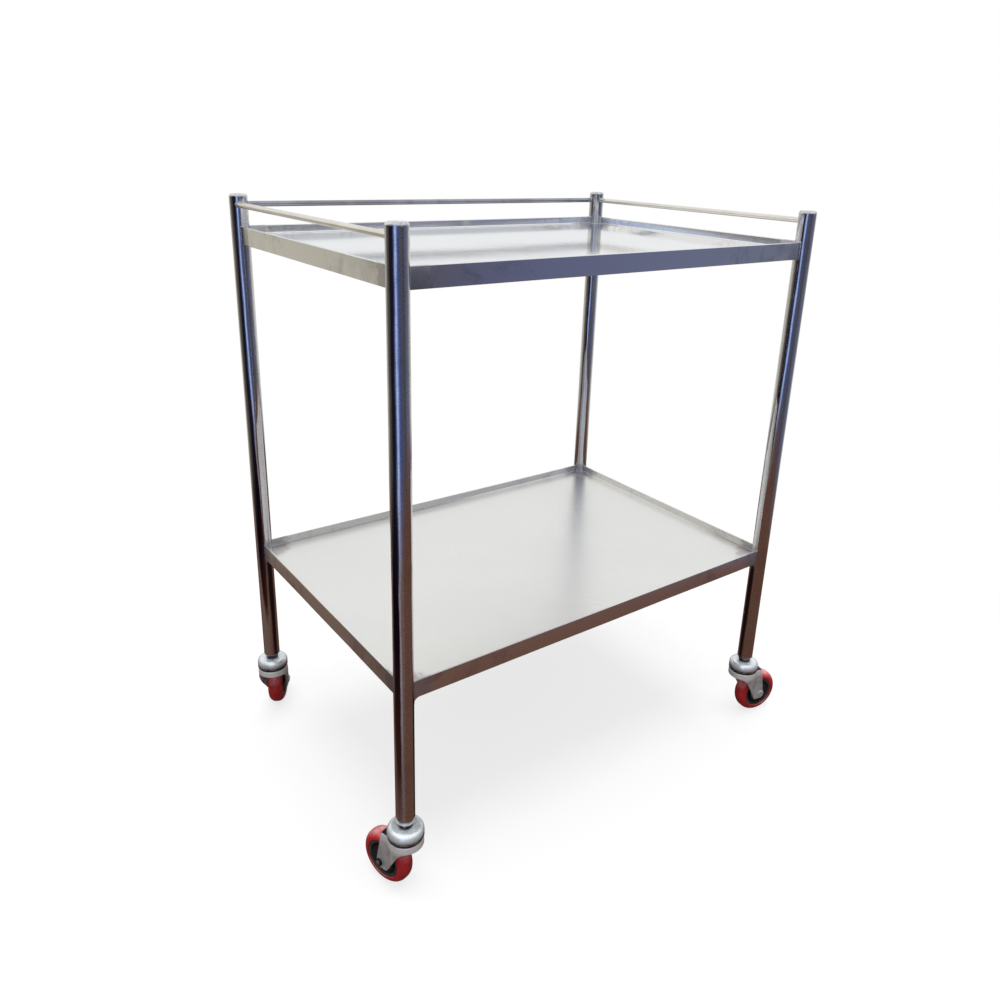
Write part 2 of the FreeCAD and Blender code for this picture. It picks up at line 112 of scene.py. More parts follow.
# A mesh object from one surface, with doubles merged and sharp edges kept above an angle
def makePiece(name, part, body, material, sharp=35):
    points, faces = part
    mesh = bpy.data.meshes.new(name)
    mesh.vertices.add(len(points))
    mesh.vertices.foreach_set("co", points.astype(np.float32).ravel())
    mesh.loops.add(faces.size)
    mesh.loops.foreach_set("vertex_index", faces.astype(np.int32).ravel())
    mesh.polygons.add(len(faces))
    mesh.polygons.foreach_set("loop_start", np.arange(0, faces.size, 4, dtype=np.int32))
    mesh.update(calc_edges=True)
    mesh.validate()
    edit = bmesh.new()
    edit.from_mesh(mesh)
    bmesh.ops.remove_doubles(edit, verts=edit.verts, dist=2e-6)
    bmesh.ops.dissolve_degenerate(edit, edges=edit.edges, dist=1e-7)
    bmesh.ops.recalc_face_normals(edit, faces=edit.faces)
    edit.to_mesh(mesh)
    edit.free()
    mesh.polygons.foreach_set("use_smooth", np.ones(len(mesh.polygons), bool))
    mesh.set_sharp_from_angle(angle=math.radians(sharp))
    mesh.materials.append(material)
    piece = bpy.data.objects.new(name, mesh)
    scene.collection.objects.link(piece)
    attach(piece, body)
    return piece


# A line through (a, b, radius) corners: each corner becomes an arc that meets both its runs in a tangent
def roundedLine(corners, steps=6, closed=False):
    places = np.array([corner[:2] for corner in corners], float)
    line = []
    for i, (a, b, radius) in enumerate(corners):
        atEnd = not closed and i in (0, len(corners) - 1)
        if atEnd or radius <= 0:
            line.append([(a, b)])
            continue
        back = places[i - 1] - places[i]
        ahead = places[(i + 1) % len(places)] - places[i]
        back /= np.linalg.norm(back)
        ahead /= np.linalg.norm(ahead)
        half = math.acos(np.clip(back @ ahead, -1, 1)) / 2
        middle = places[i] + (back + ahead) / np.linalg.norm(back + ahead) * radius / math.sin(half)
        spoke = places[i] + back * radius / math.tan(half) - middle
        side = math.copysign(1, ahead[0] * back[1] - ahead[1] * back[0])
        turn = np.linspace(0, math.pi - 2 * half, steps + 1) * side
        x = spoke[0] * np.cos(turn) - spoke[1] * np.sin(turn)
        y = spoke[0] * np.sin(turn) + spoke[1] * np.cos(turn)
        line.append(np.stack([middle[0] + x, middle[1] + y], -1))
    return np.concatenate(line)


# A profile of (distance out, height) carried once round the Z axis
def revolved(profile, segments=96):
    turn = np.linspace(0, 2 * math.pi, segments, endpoint=False)
    out, height = profile[:, :1], profile[:, 1:]
    points = np.stack([out * np.cos(turn), out * np.sin(turn), height + 0 * turn], -1)
    return points.reshape(-1, 3), gridFaces(len(profile), segments, wrap=True)


# A solid ring: the rounded line through all its corners, closed, carried once round the Z axis
def closedRing(corners, steps=6, segments=96):
    profile = roundedLine(corners, steps, closed=True)
    return revolved(np.concatenate([profile, profile[:1]]), segments)


# A hexagon nut: a six-sided wall, both faces cut by a cone, and a round bore.
# At angle t the wall stands at flat / cos(t to the nearest flat's middle); the cone lowers what lies
# past the chamfer's radius by the same slope all round.
def hexNut(acrossFlats, bore, low, high, segments=72, slope=0.5, chamferShare=0.97):
    turn = np.linspace(0, 2 * math.pi, segments, endpoint=False)
    wall = acrossFlats / 2 / np.cos((turn + math.pi / 6) % (math.pi / 3) - math.pi / 6)
    chamfer = acrossFlats / 2 * chamferShare
    drop = (wall - chamfer) * slope
    ring = np.full(segments, bore)
    rows = [
        (ring, low), (ring, high), (ring * 0 + chamfer, high), (wall, high - drop),
        (wall, low + drop), (ring * 0 + chamfer, low), (ring, low),
    ]
    points = [np.stack([out * np.cos(turn), out * np.sin(turn), level + 0 * turn], -1) for out, level in rows]
    return np.concatenate(points), gridFaces(len(rows), segments, wrap=True)


# Shader nodes by kind, with sockets filled by value or by link. A colour is given without its alpha.
def addNode(tree, kind, settings=None, **sockets):
    made = tree.nodes.new(kind)
    for key, value in (settings or {}).items():
        setattr(made, key, value)
    for key, value in sockets.items():
        fill(tree, made.inputs[key.replace("_", " ")], value)
    return made


def fill(tree, socket, value):
    if isinstance(value, bpy.types.NodeSocket):
        tree.links.new(value, socket)
    elif socket.type == "RGBA":
        socket.default_value = (*value, 1)
    else:
        socket.default_value = value


def calc(tree, operation, *values, kind="ShaderNodeMath"):
    made = addNode(tree, kind, {"operation": operation})
    for socket, value in zip(made.inputs, values):
        fill(tree, socket, value)
    return made.outputs[0]


def times(tree, value, *others):
    for other in others:
        value = calc(tree, "MULTIPLY", value, other)
    return value


def mixColour(tree, factor, a, b):
    made = addNode(tree, "ShaderNodeMix", {"data_type": "RGBA"})
    for place, value in ((0, factor), (6, a), (7, b)):
        fill(tree, made.inputs[place], value)
    return made.outputs[2]


def ramp(tree, factor, stops):
    made = addNode(tree, "ShaderNodeValToRGB", Fac=factor)
    elements = made.color_ramp.elements
    elements.remove(elements[1])
    elements[0].position = stops[0][0]
    elements[0].color = (*stops[0][1], 1)
    for place, colour in stops[1:]:
        elements.new(place).color = (*colour, 1)
    return made.outputs["Color"]


def mapRange(tree, value, low, high, toLow=0.0, toHigh=1.0, kind="LINEAR"):
    made = addNode(
        tree, "ShaderNodeMapRange", {"clamp": True, "interpolation_type": kind},
        Value=value, From_Min=low, From_Max=high, To_Min=toLow, To_Max=toHigh,
    )
    return made.outputs[0]


# A group with named inputs and their usual values, and named outputs by kind
def startGroup(name, inputs, **outputs):
    tree = bpy.data.node_groups.new(name, "ShaderNodeTree")
    for label, value in inputs.items():
        kind = "Vector" if isinstance(value, tuple) else "Float"
        socket = tree.interface.new_socket(label, in_out="INPUT", socket_type="NodeSocket" + kind)
        socket.default_value = value
    for label, kind in outputs.items():
        tree.interface.new_socket(label, in_out="OUTPUT", socket_type="NodeSocket" + kind)
    return tree, tree.nodes.new("NodeGroupInput").outputs, tree.nodes.new("NodeGroupOutput").inputs


def useGroup(tree, group, **sockets):
    return addNode(tree, "ShaderNodeGroup", {"node_tree": group}, **sockets).outputs


def objectPlace(tree):
    return addNode(tree, "ShaderNodeTexCoord").outputs["Object"]


def split(tree, vector):
    return addNode(tree, "ShaderNodeSeparateXYZ", Vector=vector).outputs


# How far a surface of the piece faces up, from -1 to 1
def facingUp(tree):
    return split(tree, addNode(tree, "ShaderNodeTexCoord").outputs["Normal"])["Z"]


# Noise by place on the piece, its scale about the number of cells to the metre
def noise(tree, scale, at=None, **sockets):
    place = objectPlace(tree) if at is None else at
    return addNode(tree, "ShaderNodeTexNoise", Vector=place, Scale=scale, **sockets).outputs[0]


# The root of two squares added
def longSide(tree, a, b):
    return calc(tree, "SQRT", calc(tree, "ADD", times(tree, a, a), times(tree, b, b)))


# Wiped finger marks: patches of noise with finer noise inside them
def handMarksGroup():
    inputs = {"Size": 12.0, "Cover": 0.5, "Seed": 0.0, "Soft": 0.14}
    tree, given, out = startGroup("handMarks", inputs, Mask="Float")
    seed = addNode(tree, "ShaderNodeCombineXYZ", **{axis: given["Seed"] for axis in "XYZ"}).outputs[0]
    at = calc(tree, "ADD", objectPlace(tree), seed, kind="ShaderNodeVectorMath")
    wide = noise(tree, given["Size"], at, Detail=3.0, Distortion=0.8)
    small = noise(tree, times(tree, given["Size"], 9.0), at, Detail=4.0, Roughness=0.65)
    both = calc(tree, "ADD", times(tree, wide, 0.7), times(tree, small, 0.3))
    edge = calc(tree, "SUBTRACT", 1.0, given["Cover"])
    low = calc(tree, "SUBTRACT", edge, given["Soft"])
    high = calc(tree, "ADD", edge, given["Soft"])
    fill(tree, out["Mask"], mapRange(tree, both, low, high, kind="SMOOTHSTEP"))
    return tree


# Fine parallel lines: noise stretched along one axis
def grainGroup():
    inputs = {"Stretch": (1.0, 1.0, 1.0), "Fineness": 900.0}
    tree, given, out = startGroup("drawnGrain", inputs, Height="Float")
    scaled = calc(tree, "MULTIPLY", objectPlace(tree), given["Stretch"], kind="ShaderNodeVectorMath")
    fill(tree, out["Height"], noise(tree, given["Fineness"], scaled, Detail=2.0))
    return tree


# Heat colours beside a weld at the posts: grey, violet and brown by distance from the tube's wall,
# only near the given height
heatColours = [
    (0.0, (0.42, 0.43, 0.47)), (0.4, (0.30, 0.29, 0.36)),
    (0.7, (0.36, 0.31, 0.31)), (0.9, (0.60, 0.57, 0.53)),
]


def heatTintGroup():
    inputs = {"Reach": 0.02, "Middle": 0.8, "Spread": 0.02}
    tree, given, out = startGroup("weldHeat", inputs, Colour="Color", Mask="Float")
    place = split(tree, objectPlace(tree))
    gapX = calc(tree, "SUBTRACT", calc(tree, "ABSOLUTE", place["X"]), pitchX)
    gapY = calc(tree, "SUBTRACT", calc(tree, "ABSOLUTE", place["Y"]), pitchY)
    fromWall = calc(tree, "SUBTRACT", longSide(tree, gapX, gapY), tubeRadius)
    away = calc(tree, "DIVIDE", fromWall, given["Reach"])
    offMiddle = calc(tree, "ABSOLUTE", calc(tree, "SUBTRACT", place["Z"], given["Middle"]))
    level = calc(tree, "DIVIDE", offMiddle, given["Spread"])
    uneven = times(tree, calc(tree, "SUBTRACT", noise(tree, 160.0, Detail=3.0), 0.5), 0.9)
    worst = calc(tree, "ADD", calc(tree, "MAXIMUM", away, level), uneven)
    fill(tree, out["Colour"], ramp(tree, worst, heatColours))
    fill(tree, out["Mask"], mapRange(tree, worst, 0.75, 1.05, 1.0, 0.0))
    return tree


# Dust that settles on what faces up, broken by noise; its pale mask is also a painted highlight on the top
def dustAndHighlightGroup():
    tree, given, out = startGroup("upwardDustAndHighlight", {"Amount": 0.3, "Size": 90.0}, Mask="Float")
    up = mapRange(tree, facingUp(tree), 0.2, 0.85)
    patchy = mapRange(tree, noise(tree, given["Size"], Detail=5.0), 0.22, 0.60)
    fill(tree, out["Mask"], times(tree, up, patchy, given["Amount"]))
    return tree


handMarks = handMarksGroup()
drawnGrain = grainGroup()
weldHeat = heatTintGroup()
upwardDustAndHighlight = dustAndHighlightGroup()


# A finish in the making: its colour and roughness pass from plain to marked where finger marks lie.
# The marks are given by size, cover and seed; colours and roughness in pairs, plain and marked.
def startFinish(name, marks, colours, rough, metallic=0.0, soft=0.14):
    finish = SimpleNamespace(material=bpy.data.materials.new(name), normal=None)
    finish.material.use_nodes = True
    tree = finish.tree = finish.material.node_tree
    finish.shader = tree.nodes["Principled BSDF"].inputs
    size, covered, seed = marks
    finish.marks = useGroup(tree, handMarks, Size=size, Cover=covered, Seed=seed, Soft=soft)["Mask"]
    finish.colour = mixColour(tree, finish.marks, *colours)
    finish.rough = mapRange(tree, finish.marks, 0.0, 1.0, *rough)
    fill(tree, finish.shader["Metallic"], metallic)
    fill(tree, finish.shader["Base Color"], finish.colour)
    fill(tree, finish.shader["Roughness"], finish.rough)
    return finish


# Lays a colour over the finish as far as a mask and a share say, and adds to its roughness
def cover(finish, mask, colour, share=1.0, roughen=0.0):
    tree = finish.tree
    finish.colour = mixColour(tree, times(tree, mask, share), finish.colour, colour)
    fill(tree, finish.shader["Base Color"], finish.colour)
    if roughen:
        finish.rough = calc(tree, "ADD", finish.rough, times(tree, mask, roughen))
        fill(tree, finish.shader["Roughness"], finish.rough)


# Adds a bump of a depth in metres over the bumps already there
def bump(finish, height, depth):
    made = addNode(finish.tree, "ShaderNodeBump", Height=height, Distance=depth, Strength=1.0)
    if finish.normal is not None:
        fill(finish.tree, made.inputs["Normal"], finish.normal)
    finish.normal = made.outputs[0]
    fill(finish.tree, finish.shader["Normal"], finish.normal)


def grain(tree, stretch, fineness):
    return useGroup(tree, drawnGrain, Stretch=stretch, Fineness=fineness)["Height"]


def axleMark(tree, label):
    return addNode(tree, "ShaderNodeAttribute", {"attribute_name": label}).outputs["Fac"]


# Colours in pairs, plain and marked
pairs = {
    "tube": ((0.70, 0.70, 0.715), (0.58, 0.575, 0.58)),
    # Rod colours are painted reflections: warm beige on the side rods, dark blue-grey on the rear rod
    "sideRodPaintedWarm": ((0.80, 0.775, 0.72), (0.74, 0.71, 0.65)),
    "rearRodPaintedDark": ((0.36, 0.37, 0.43), (0.27, 0.275, 0.31)),
    "ground": ((0.72, 0.72, 0.74), (0.40, 0.40, 0.43)),
    "brightSheet": ((0.87, 0.875, 0.88), (0.835, 0.84, 0.845)),
    # The dull sheet's warmer tint is a painted warm reflection
    "dullSheetPaintedWarm": ((0.865, 0.863, 0.838), (0.838, 0.836, 0.81)),
    "zinc": ((0.82, 0.88, 0.92), (0.58, 0.63, 0.67)),
    "fork": ((0.63, 0.65, 0.65), (0.38, 0.39, 0.40)),
    "dark": ((0.035, 0.035, 0.04), (0.14, 0.135, 0.13)),
    # The nut's near-black colour is painted shade: a shiny nut in the shadow under the tube
    "nut": ((0.05, 0.05, 0.055), (0.26, 0.25, 0.24)),
    "ball": ((0.6, 0.6, 0.6), (0.12, 0.10, 0.07)),
    "core": ((0.004, 0.004, 0.006), (0.013, 0.014, 0.018)),
    "coreLip": ((0.032, 0.031, 0.030), (0.070, 0.067, 0.064)),
    "tyre": ((0.60, 0.022, 0.032), (0.44, 0.014, 0.022)),
    "tread": ((0.56, 0.032, 0.040), (0.30, 0.018, 0.022)),
}
# Spot colours; some are painted light: painted shade on the race cap's skirt and in the gap under it, a
# painted highlight on the fork's lip and skirt, and pale tyre dust that is also a painted highlight
spots = {
    "fleck": (0.42, 0.41, 0.42),
    "smudge": (0.40, 0.40, 0.45),
    "capSkirtShade": (0.11, 0.11, 0.115),
    "gapShade": (0.012, 0.011, 0.010),
    "forkPaintedHighlight": (0.95, 0.96, 0.97),
    "threadEnd": (0.16, 0.16, 0.17),
    "tyreDustAndHighlight": (0.88, 0.40, 0.42),
}
# Heights in metres over which the marks on the casters come in, all painted light: shade on the race cap's
# skirt and on both sides of the gap under it, and a highlight on the fork's skirt
markHeights = {
    "capSkirtShade": (0.0982, 0.0945), "capGapShade": (0.0928, 0.0918),
    "forkSkirtHighlight": (0.0735, 0.0815), "forkGapShade": (0.0882, 0.0888),
}


def atHeight(tree, mark, *strength):
    height = split(tree, objectPlace(tree))["Z"]
    return mapRange(tree, height, *markHeights[mark], *strength)


# Polished tube: long draw lines, a slow wave that bends reflections, wiped marks, fine flecks and
# faint heat at the welds
def polishedTube(shelfMiddles):
    finish = startFinish("polished_tube", (9.0, 0.42, 1.3), pairs["tube"], (0.06, 0.15), 1.0)
    tree = finish.tree
    cover(finish, mapRange(tree, noise(tree, 520.0, Detail=2.0), 0.50, 0.64), spots["fleck"], 0.55)
    for middle in shelfMiddles:
        heat = useGroup(tree, weldHeat, Reach=0.05, Middle=middle, Spread=0.020)
        cover(finish, heat["Mask"], heat["Colour"], 0.16, roughen=0.05)
    drawn = addNode(tree, "ShaderNodeMapping", Vector=objectPlace(tree), Scale=(1.0, 1.0, 0.16)).outputs[0]
    bump(finish, noise(tree, 60.0, drawn, Detail=3.0, Roughness=0.36), 0.0011)
    bump(finish, grain(tree, (1.0, 1.0, 0.012), 700.0), 0.00002)
    return finish.material


# Post caps and weld beads: ground after welding, uneven and a little dull
def groundCap():
    finish = startFinish("ground_cap", (110.0, 0.45, 3.9), pairs["ground"], (0.12, 0.30), 1.0)
    bump(finish, noise(finish.tree, 420.0, Detail=3.0), 0.0004)
    return finish.material


# Guard rail rod: wiped to a satin or left bright, with rubbed patches along it; its given colours carry
# painted reflections
def railRod(name, colours, rough):
    finish = startFinish(name, (12.0, 0.5, 8.2), colours, rough, 1.0)
    bump(finish, noise(finish.tree, 70.0, Detail=1.0), 0.00010)
    return finish.material


# Rolled sheet: faint marks, scratches and slow waves, ends beside the welds that are ground dull, and
# smudges on the upright faces towards the corners
def rolledSheet(name, colours, rough, shelfMiddle, wave):
    finish = startFinish(name, (7.0, 0.40, 4.1), colours, rough, 1.0, soft=0.34)
    tree = finish.tree
    corner = useGroup(tree, weldHeat, Reach=0.16, Middle=shelfMiddle, Spread=0.04)["Mask"]
    patches = useGroup(tree, handMarks, Size=34.0, Cover=0.42, Seed=6.6)["Mask"]
    upright = mapRange(tree, calc(tree, "ABSOLUTE", facingUp(tree)), 0.7, 0.3)
    cover(finish, times(tree, corner, patches, upright), spots["smudge"], 0.55)
    heat = useGroup(tree, weldHeat, Reach=0.030, Middle=shelfMiddle, Spread=0.024)
    cover(finish, heat["Mask"], heat["Colour"], 0.42, roughen=0.16)
    bump(finish, noise(tree, 5.0, Detail=1.0), wave)
    bump(finish, grain(tree, (0.02, 1.0, 1.0), 600.0), 0.00002)
    return finish.material


# Bright zinc: a faint spangle, dull spots, patchy painted shade on the race cap's skirt and painted shade at
# its lower edge by the gap
def zincPlate():
    finish = startFinish("zinc_plate", (60.0, 0.45, 2.2), pairs["zinc"], (0.15, 0.32), 0.5)
    tree = finish.tree
    patchy = mapRange(tree, noise(tree, 260.0, Detail=3.0), 0.25, 0.55, 0.45, 1.0)
    # Painted shade: a patchy darkening of the race cap's skirt below its lit top
    cover(finish, times(tree, patchy, atHeight(tree, "capSkirtShade")), spots["capSkirtShade"])
    # Painted shade: the cap's lower edge made near black at the gap above the fork
    cover(finish, atHeight(tree, "capGapShade"), spots["gapShade"])
    spangle = addNode(tree, "ShaderNodeTexVoronoi", Vector=objectPlace(tree), Scale=420.0)
    bump(finish, spangle.outputs["Distance"], 0.00003)
    return finish.material


# Pressed fork steel: satin, with streaks down the legs, darker rubbed patches, a painted highlight on the
# faces that look up and on the crown's skirt, and painted shade on the top in the gap under the race cap
def forkSteel():
    finish = startFinish("fork_steel", (45.0, 0.5, 7.7), pairs["fork"], (0.28, 0.46), 0.35)
    tree = finish.tree
    # Painted highlight: faces that look up and the crown's skirt made near white
    lip = mapRange(tree, facingUp(tree), 0.1, 0.45, 0.0, 0.9)
    skirt = atHeight(tree, "forkSkirtHighlight", 0.0, 0.85)
    cover(finish, calc(tree, "MAXIMUM", lip, skirt), spots["forkPaintedHighlight"])
    # Painted shade: the plate's top and ball track made near black in the gap under the race cap
    cover(finish, atHeight(tree, "forkGapShade"), spots["gapShade"])
    bump(finish, grain(tree, (1.0, 1.0, 0.25), 1400.0), 0.00006)
    return finish.material


# The axle bolt: the same plating, with a dark end where the thread comes through the nut
def boltSteel(seat):
    finish = startFinish("bolt_steel", (120.0, 0.5, 1.9), pairs["fork"], (0.25, 0.42), 0.35)
    pastNut = mapRange(finish.tree, axleMark(finish.tree, "axleAlong"), seat - 0.001, seat)
    cover(finish, pastNut, spots["threadEnd"])
    return finish.material


# Wheel centre: dark moulded plastic whose outer lip is rubbed grey with dust
def corePlastic(lipRadius):
    finish = startFinish("core_plastic", (90.0, 0.5, 6.1), pairs["core"], (0.42, 0.62))
    tree = finish.tree
    lip = mapRange(tree, axleMark(tree, "axleDistance"), lipRadius - 0.0006, lipRadius + 0.0006)
    cover(finish, lip, mixColour(tree, finish.marks, *pairs["coreLip"]))
    bump(finish, noise(tree, 1600.0), 0.00005)
    return finish.material


# Red elastomer: deep colour, a duller tread, pale dust on top that is partly a painted highlight, and small
# scuffs
def tyreRed(treadRadius):
    finish = startFinish("tyre_red", (70.0, 0.5, 9.4), pairs["tyre"], (0.20, 0.40))
    tree = finish.tree
    tread = mapRange(tree, axleMark(tree, "axleDistance"), treadRadius - 0.006, treadRadius - 0.001)
    cover(finish, tread, mixColour(tree, finish.marks, *pairs["tread"]))
    # Pale pink on the upward faces: partly dust, partly a painted highlight on the tyre's top
    cover(finish, useGroup(tree, upwardDustAndHighlight, Amount=0.85, Size=120.0)["Mask"], spots["tyreDustAndHighlight"])
    bump(finish, noise(tree, 900.0, Detail=3.0), 0.00008)
    return finish.material


# A round bead along a path: each point's circle stands square to the path, and its radius is the
# bead's times one plus a sine along the path. An open bead thins to nothing at both its ends.
def beadAlong(path, outward, ripples, closed=False, around=10):
    count = len(path)
    ahead = np.roll(path, -1, 0) - np.roll(path, 1, 0) if closed else np.gradient(path, axis=0)
    ahead = ahead / np.linalg.norm(ahead, axis=1, keepdims=True)
    side = np.cross(ahead, outward)
    side = side / np.linalg.norm(side, axis=1, keepdims=True)
    lift = np.cross(side, ahead)
    share = np.linspace(0, 1, count)
    size = bead["radius"] * (1 + bead["rippleShare"] * np.sin(2 * math.pi * ripples * share))
    if not closed:
        size = size * np.sqrt(np.clip(1 - np.abs(2 * share - 1) ** 6, 0, 1))
    turn = np.linspace(0, 2 * math.pi, around, endpoint=False)
    ring = np.cos(turn)[None, :, None] * side[:, None] + np.sin(turn)[None, :, None] * lift[:, None]
    points = path[:, None] + ring * size[:, None, None]
    if closed:
        points = np.concatenate([points, points[:1]])
    return points.reshape(-1, 3), gridFaces(len(points), around, wrap=True)


def levels(node):
    low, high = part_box(node)
    return low.z / mm, high.z / mm


def thicken(piece, thickness, edge):
    wall = piece.modifiers.new("wall", "SOLIDIFY")
    wall.thickness = thickness * mm
    wall.offset = -1
    wall.use_even_offset = True
    rim = piece.modifiers.new("edge", "BEVEL")
    rim.width = edge * mm
    rim.segments = 2
    rim.limit_method = "ANGLE"
    rim.angle_limit = math.radians(50)
    rim.harden_normals = True


# How far each vertex lies from the axle's line and along it, for the wheel's materials
def markAxle(piece, corner):
    mesh = piece.data
    points = np.empty(len(mesh.vertices) * 3, np.float32)
    mesh.vertices.foreach_get("co", points)
    local = np.array(axlePlace(corner).inverted())
    at = points.reshape(-1, 3) @ local[:3, :3].T + local[:3, 3]
    for label, values in (("axleDistance", np.hypot(at[:, 0], at[:, 1])), ("axleAlong", at[:, 2])):
        marked = mesh.attributes.new(label, "FLOAT", "POINT")
        marked.data.foreach_set("value", values.astype(np.float32))


# Sizes of the posts, shelves and weld beads in millimetres
tube = {"wall": 1.2, "edge": 0.3, "capEdge": 3.5, "spigot": 8.0, "weldGap": 0.05, "segments": 128}
tube["low"], tube["high"] = levels("post_front_left")
tube["top"] = levels("post_caps")[1]
tube["radius"] = tubeRadius / mm
tube["notch"] = tube["radius"] + tube["weldGap"]
halfX, halfY = pitchX / mm, pitchY / mm
shelf = {
    "rimWidth": 3.0, "wellDepth": 12.0, "apron": 25.0, "lip": 8.0, "rimRadius": 1.0, "wellRadius": 2.0,
    "sheet": 0.98, "edge": 0.15, "sag": 0.5, "ripple": 0.12, "rippleX": 55.0, "rippleY": 70.0,
    "apronWaves": 9.0, "straightEnd": 20.0,
}
bead = {"radius": 0.75, "rippleShare": 0.22, "railRipples": 11, "step": 0.7, "rippleLength": 2.6}
shelfTop = {name: levels(name)[1] for name in ("upper_tray", "lower_tray")}
shelfFlare = {"upper_tray": 0.0, "lower_tray": 8.0}
shelfMiddles = [(top - shelf["apron"] / 2) * mm for top in shelfTop.values()]

tubeFinish = polishedTube(shelfMiddles)
# Side rods tinted with a painted warm reflection, the rear rod with a painted dark blue one
sideRodPaintedWarmFinish = railRod("satin_rod_painted_warm", pairs["sideRodPaintedWarm"], (0.20, 0.28))
rearRodPaintedDarkFinish = railRod("bright_rod_painted_dark", pairs["rearRodPaintedDark"], (0.06, 0.14))
sheetFinish = {
    "upper_tray": rolledSheet("bright_sheet", pairs["brightSheet"], (0.075, 0.10), shelfMiddles[0], 0.0007),
    # Lower shelf: its warmer colour is a painted warm reflection
    "lower_tray": rolledSheet("dull_sheet_painted_warm", pairs["dullSheetPaintedWarm"], (0.27, 0.32), shelfMiddles[1], 0.0010),
}
capFinish = groundCap()
zincFinish = zincPlate()
forkFinish = forkSteel()
darkMarks = (110.0, 0.4, 3.3)
darkFinish = startFinish("dark_steel", darkMarks, pairs["dark"], (0.3, 0.55), 0.9).material
# Jam nut: near-black painted shade for a shiny nut in the tube's shadow
shadedNutFinish = startFinish("shaded_zinc_nut", darkMarks, pairs["nut"], (0.08, 0.25), 0.9).material
ballFinish = startFinish("ball_steel", (150.0, 0.5, 5.0), pairs["ball"], (0.1, 0.4), 1.0).material
print("materials made")


def makePosts():
    radius, low, high, edge = tube["radius"], tube["low"], tube["high"], tube["edge"]
    bore = radius - tube["wall"]
    spigot = bore - tube["weldGap"]
    wall = closedRing([
        (bore, low, edge), (radius, low, edge), (radius, high, 0), (bore, high, 0),
    ], steps=3, segments=tube["segments"])
    cap = revolved(roundedLine([
        (0, high - tube["spigot"], 0), (spigot, high - tube["spigot"], 0), (spigot, high, 0),
        (radius, high, 0), (radius, tube["top"], tube["capEdge"]), (0, tube["top"], 0),
    ], steps=10), tube["segments"])
    for corner in cornerNames:
        part = placed(wall, postPlace(corner))
        post = makePiece("tube_" + corner, part, "frame", tubeFinish)
        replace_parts(post, "post_" + corner)
    caps = joined([placed(cap, postPlace(corner)) for corner in cornerNames])
    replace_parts(makePiece("tube_caps", caps, "frame", capFinish), "post_caps")


# A guard rail: a round rod whose ends follow the post's wall, with one end bent up by a little.
# A point of the rod at distance d from the post's middle line, seen along the rod, ends where the
# post's circle stands: post centre minus the root of (post radius squared minus d squared).
def guardRail(half, outset, level, radius, bend, bendFrom=0.9, around=48, rings=25):
    turn = np.linspace(0, 2 * math.pi, around, endpoint=False)
    aside = outset + radius * np.cos(turn)
    reach = half - np.sqrt(tube["notch"] ** 2 - aside**2)
    share = np.linspace(-1, 1, rings)[:, None]
    nearEnd = np.clip((share - bendFrom) / (1 - bendFrom), 0, 1) ** 2
    x = share * reach
    y = aside + 0 * share
    z = level + radius * np.sin(turn) + nearEnd * bend
    sideWall = np.stack([x, y + 0 * x, z], -1)
    first, last = [np.tile((sideWall[i, :, 0].mean(), outset, z[i].mean()), (1, around, 1)) for i in (0, -1)]
    rows = np.concatenate([first, sideWall, last])
    return rows.reshape(-1, 3), gridFaces(rings + 2, around, wrap=True)


def makeRails():
    low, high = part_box("rear_guard_rail")
    radius = (high.z - low.z) / 2 / mm
    level = (high.z + low.z) / 2 / mm
    outset = (high.y + low.y) / 2 / mm - halfY
    beads = []
    angle = np.linspace(0, 2 * math.pi, 40, endpoint=False)
    aside = outset + radius * np.cos(angle)
    for node, half, side, turn, bend, finish in (
        ("rear_guard_rail", halfX, halfY, 0, 0.0, rearRodPaintedDarkFinish),
        ("left_guard_rail", halfY, halfX, 90, 0.8, sideRodPaintedWarmFinish),
        ("right_guard_rail", halfY, halfX, -90, 0.0, sideRodPaintedWarmFinish),
    ):
        place = turned(turn) @ Matrix.Translation((0, side * mm, 0))
        rod = placed(guardRail(half, outset, level, radius, bend), place)
        name = node.replace("guard_rail", "rail_rod")
        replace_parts(makePiece(name, rod, "frame", finish), node)
        for end in (-1, 1):
            x = end * (half - np.sqrt(tube["radius"] ** 2 - aside**2))
            path = np.stack([x, aside, level + radius * np.sin(angle)], -1)
            ring = beadAlong(path, (end, 0.02, 0), bead["railRipples"], closed=True)
            beads.append(placed(ring, place))
    makePiece("rail_welds", joined(beads), "frame", tubeFinish)


# One side of a shelf: the folded section carried along X between two posts, coped to both tubes.
# The section's points lie at a distance out from the middle, and each row ends on the post's circle.
# A flare lowers the apron's edge by the height of a quarter circle beside each post.
def shelfSide(top, edge, half, otherHalf, along, flare):
    section = roundedLine([
        (-shelf["rimWidth"] - shelf["wellRadius"], -shelf["wellDepth"], 0),
        (-shelf["rimWidth"], -shelf["wellDepth"], shelf["wellRadius"]),
        (-shelf["rimWidth"], 0, shelf["rimRadius"]),
        (0, 0, shelf["rimRadius"]),
        (0, -shelf["apron"], shelf["rimRadius"]),
        (-shelf["lip"], -shelf["apron"], 0),
    ], steps=6)
    out = edge + section[:, :1]
    reach = half - np.sqrt(tube["notch"] ** 2 - (out - otherHalf) ** 2)
    x = along * reach
    fromPost = reach - np.abs(x)
    isLow = section[:, 1:] < -shelf["apron"] + shelf["rimRadius"] * 1.01
    near = np.clip(flare - fromPost, 0, flare)
    drop = (flare - np.sqrt(flare**2 - near**2)) * isLow
    isApron = np.clip(1 + section[:, :1] / shelf["lip"], 0, 1)
    along = np.cos(x / half * shelf["apronWaves"]) - 1
    wave = isApron * shelf["ripple"] * along * np.clip(fromPost / shelf["straightEnd"], 0, 1)
    side = np.stack([x, out + wave, top + section[:, 1:] - drop + 0 * x], -1)
    return side, gridFaces(*side.shape[:2])


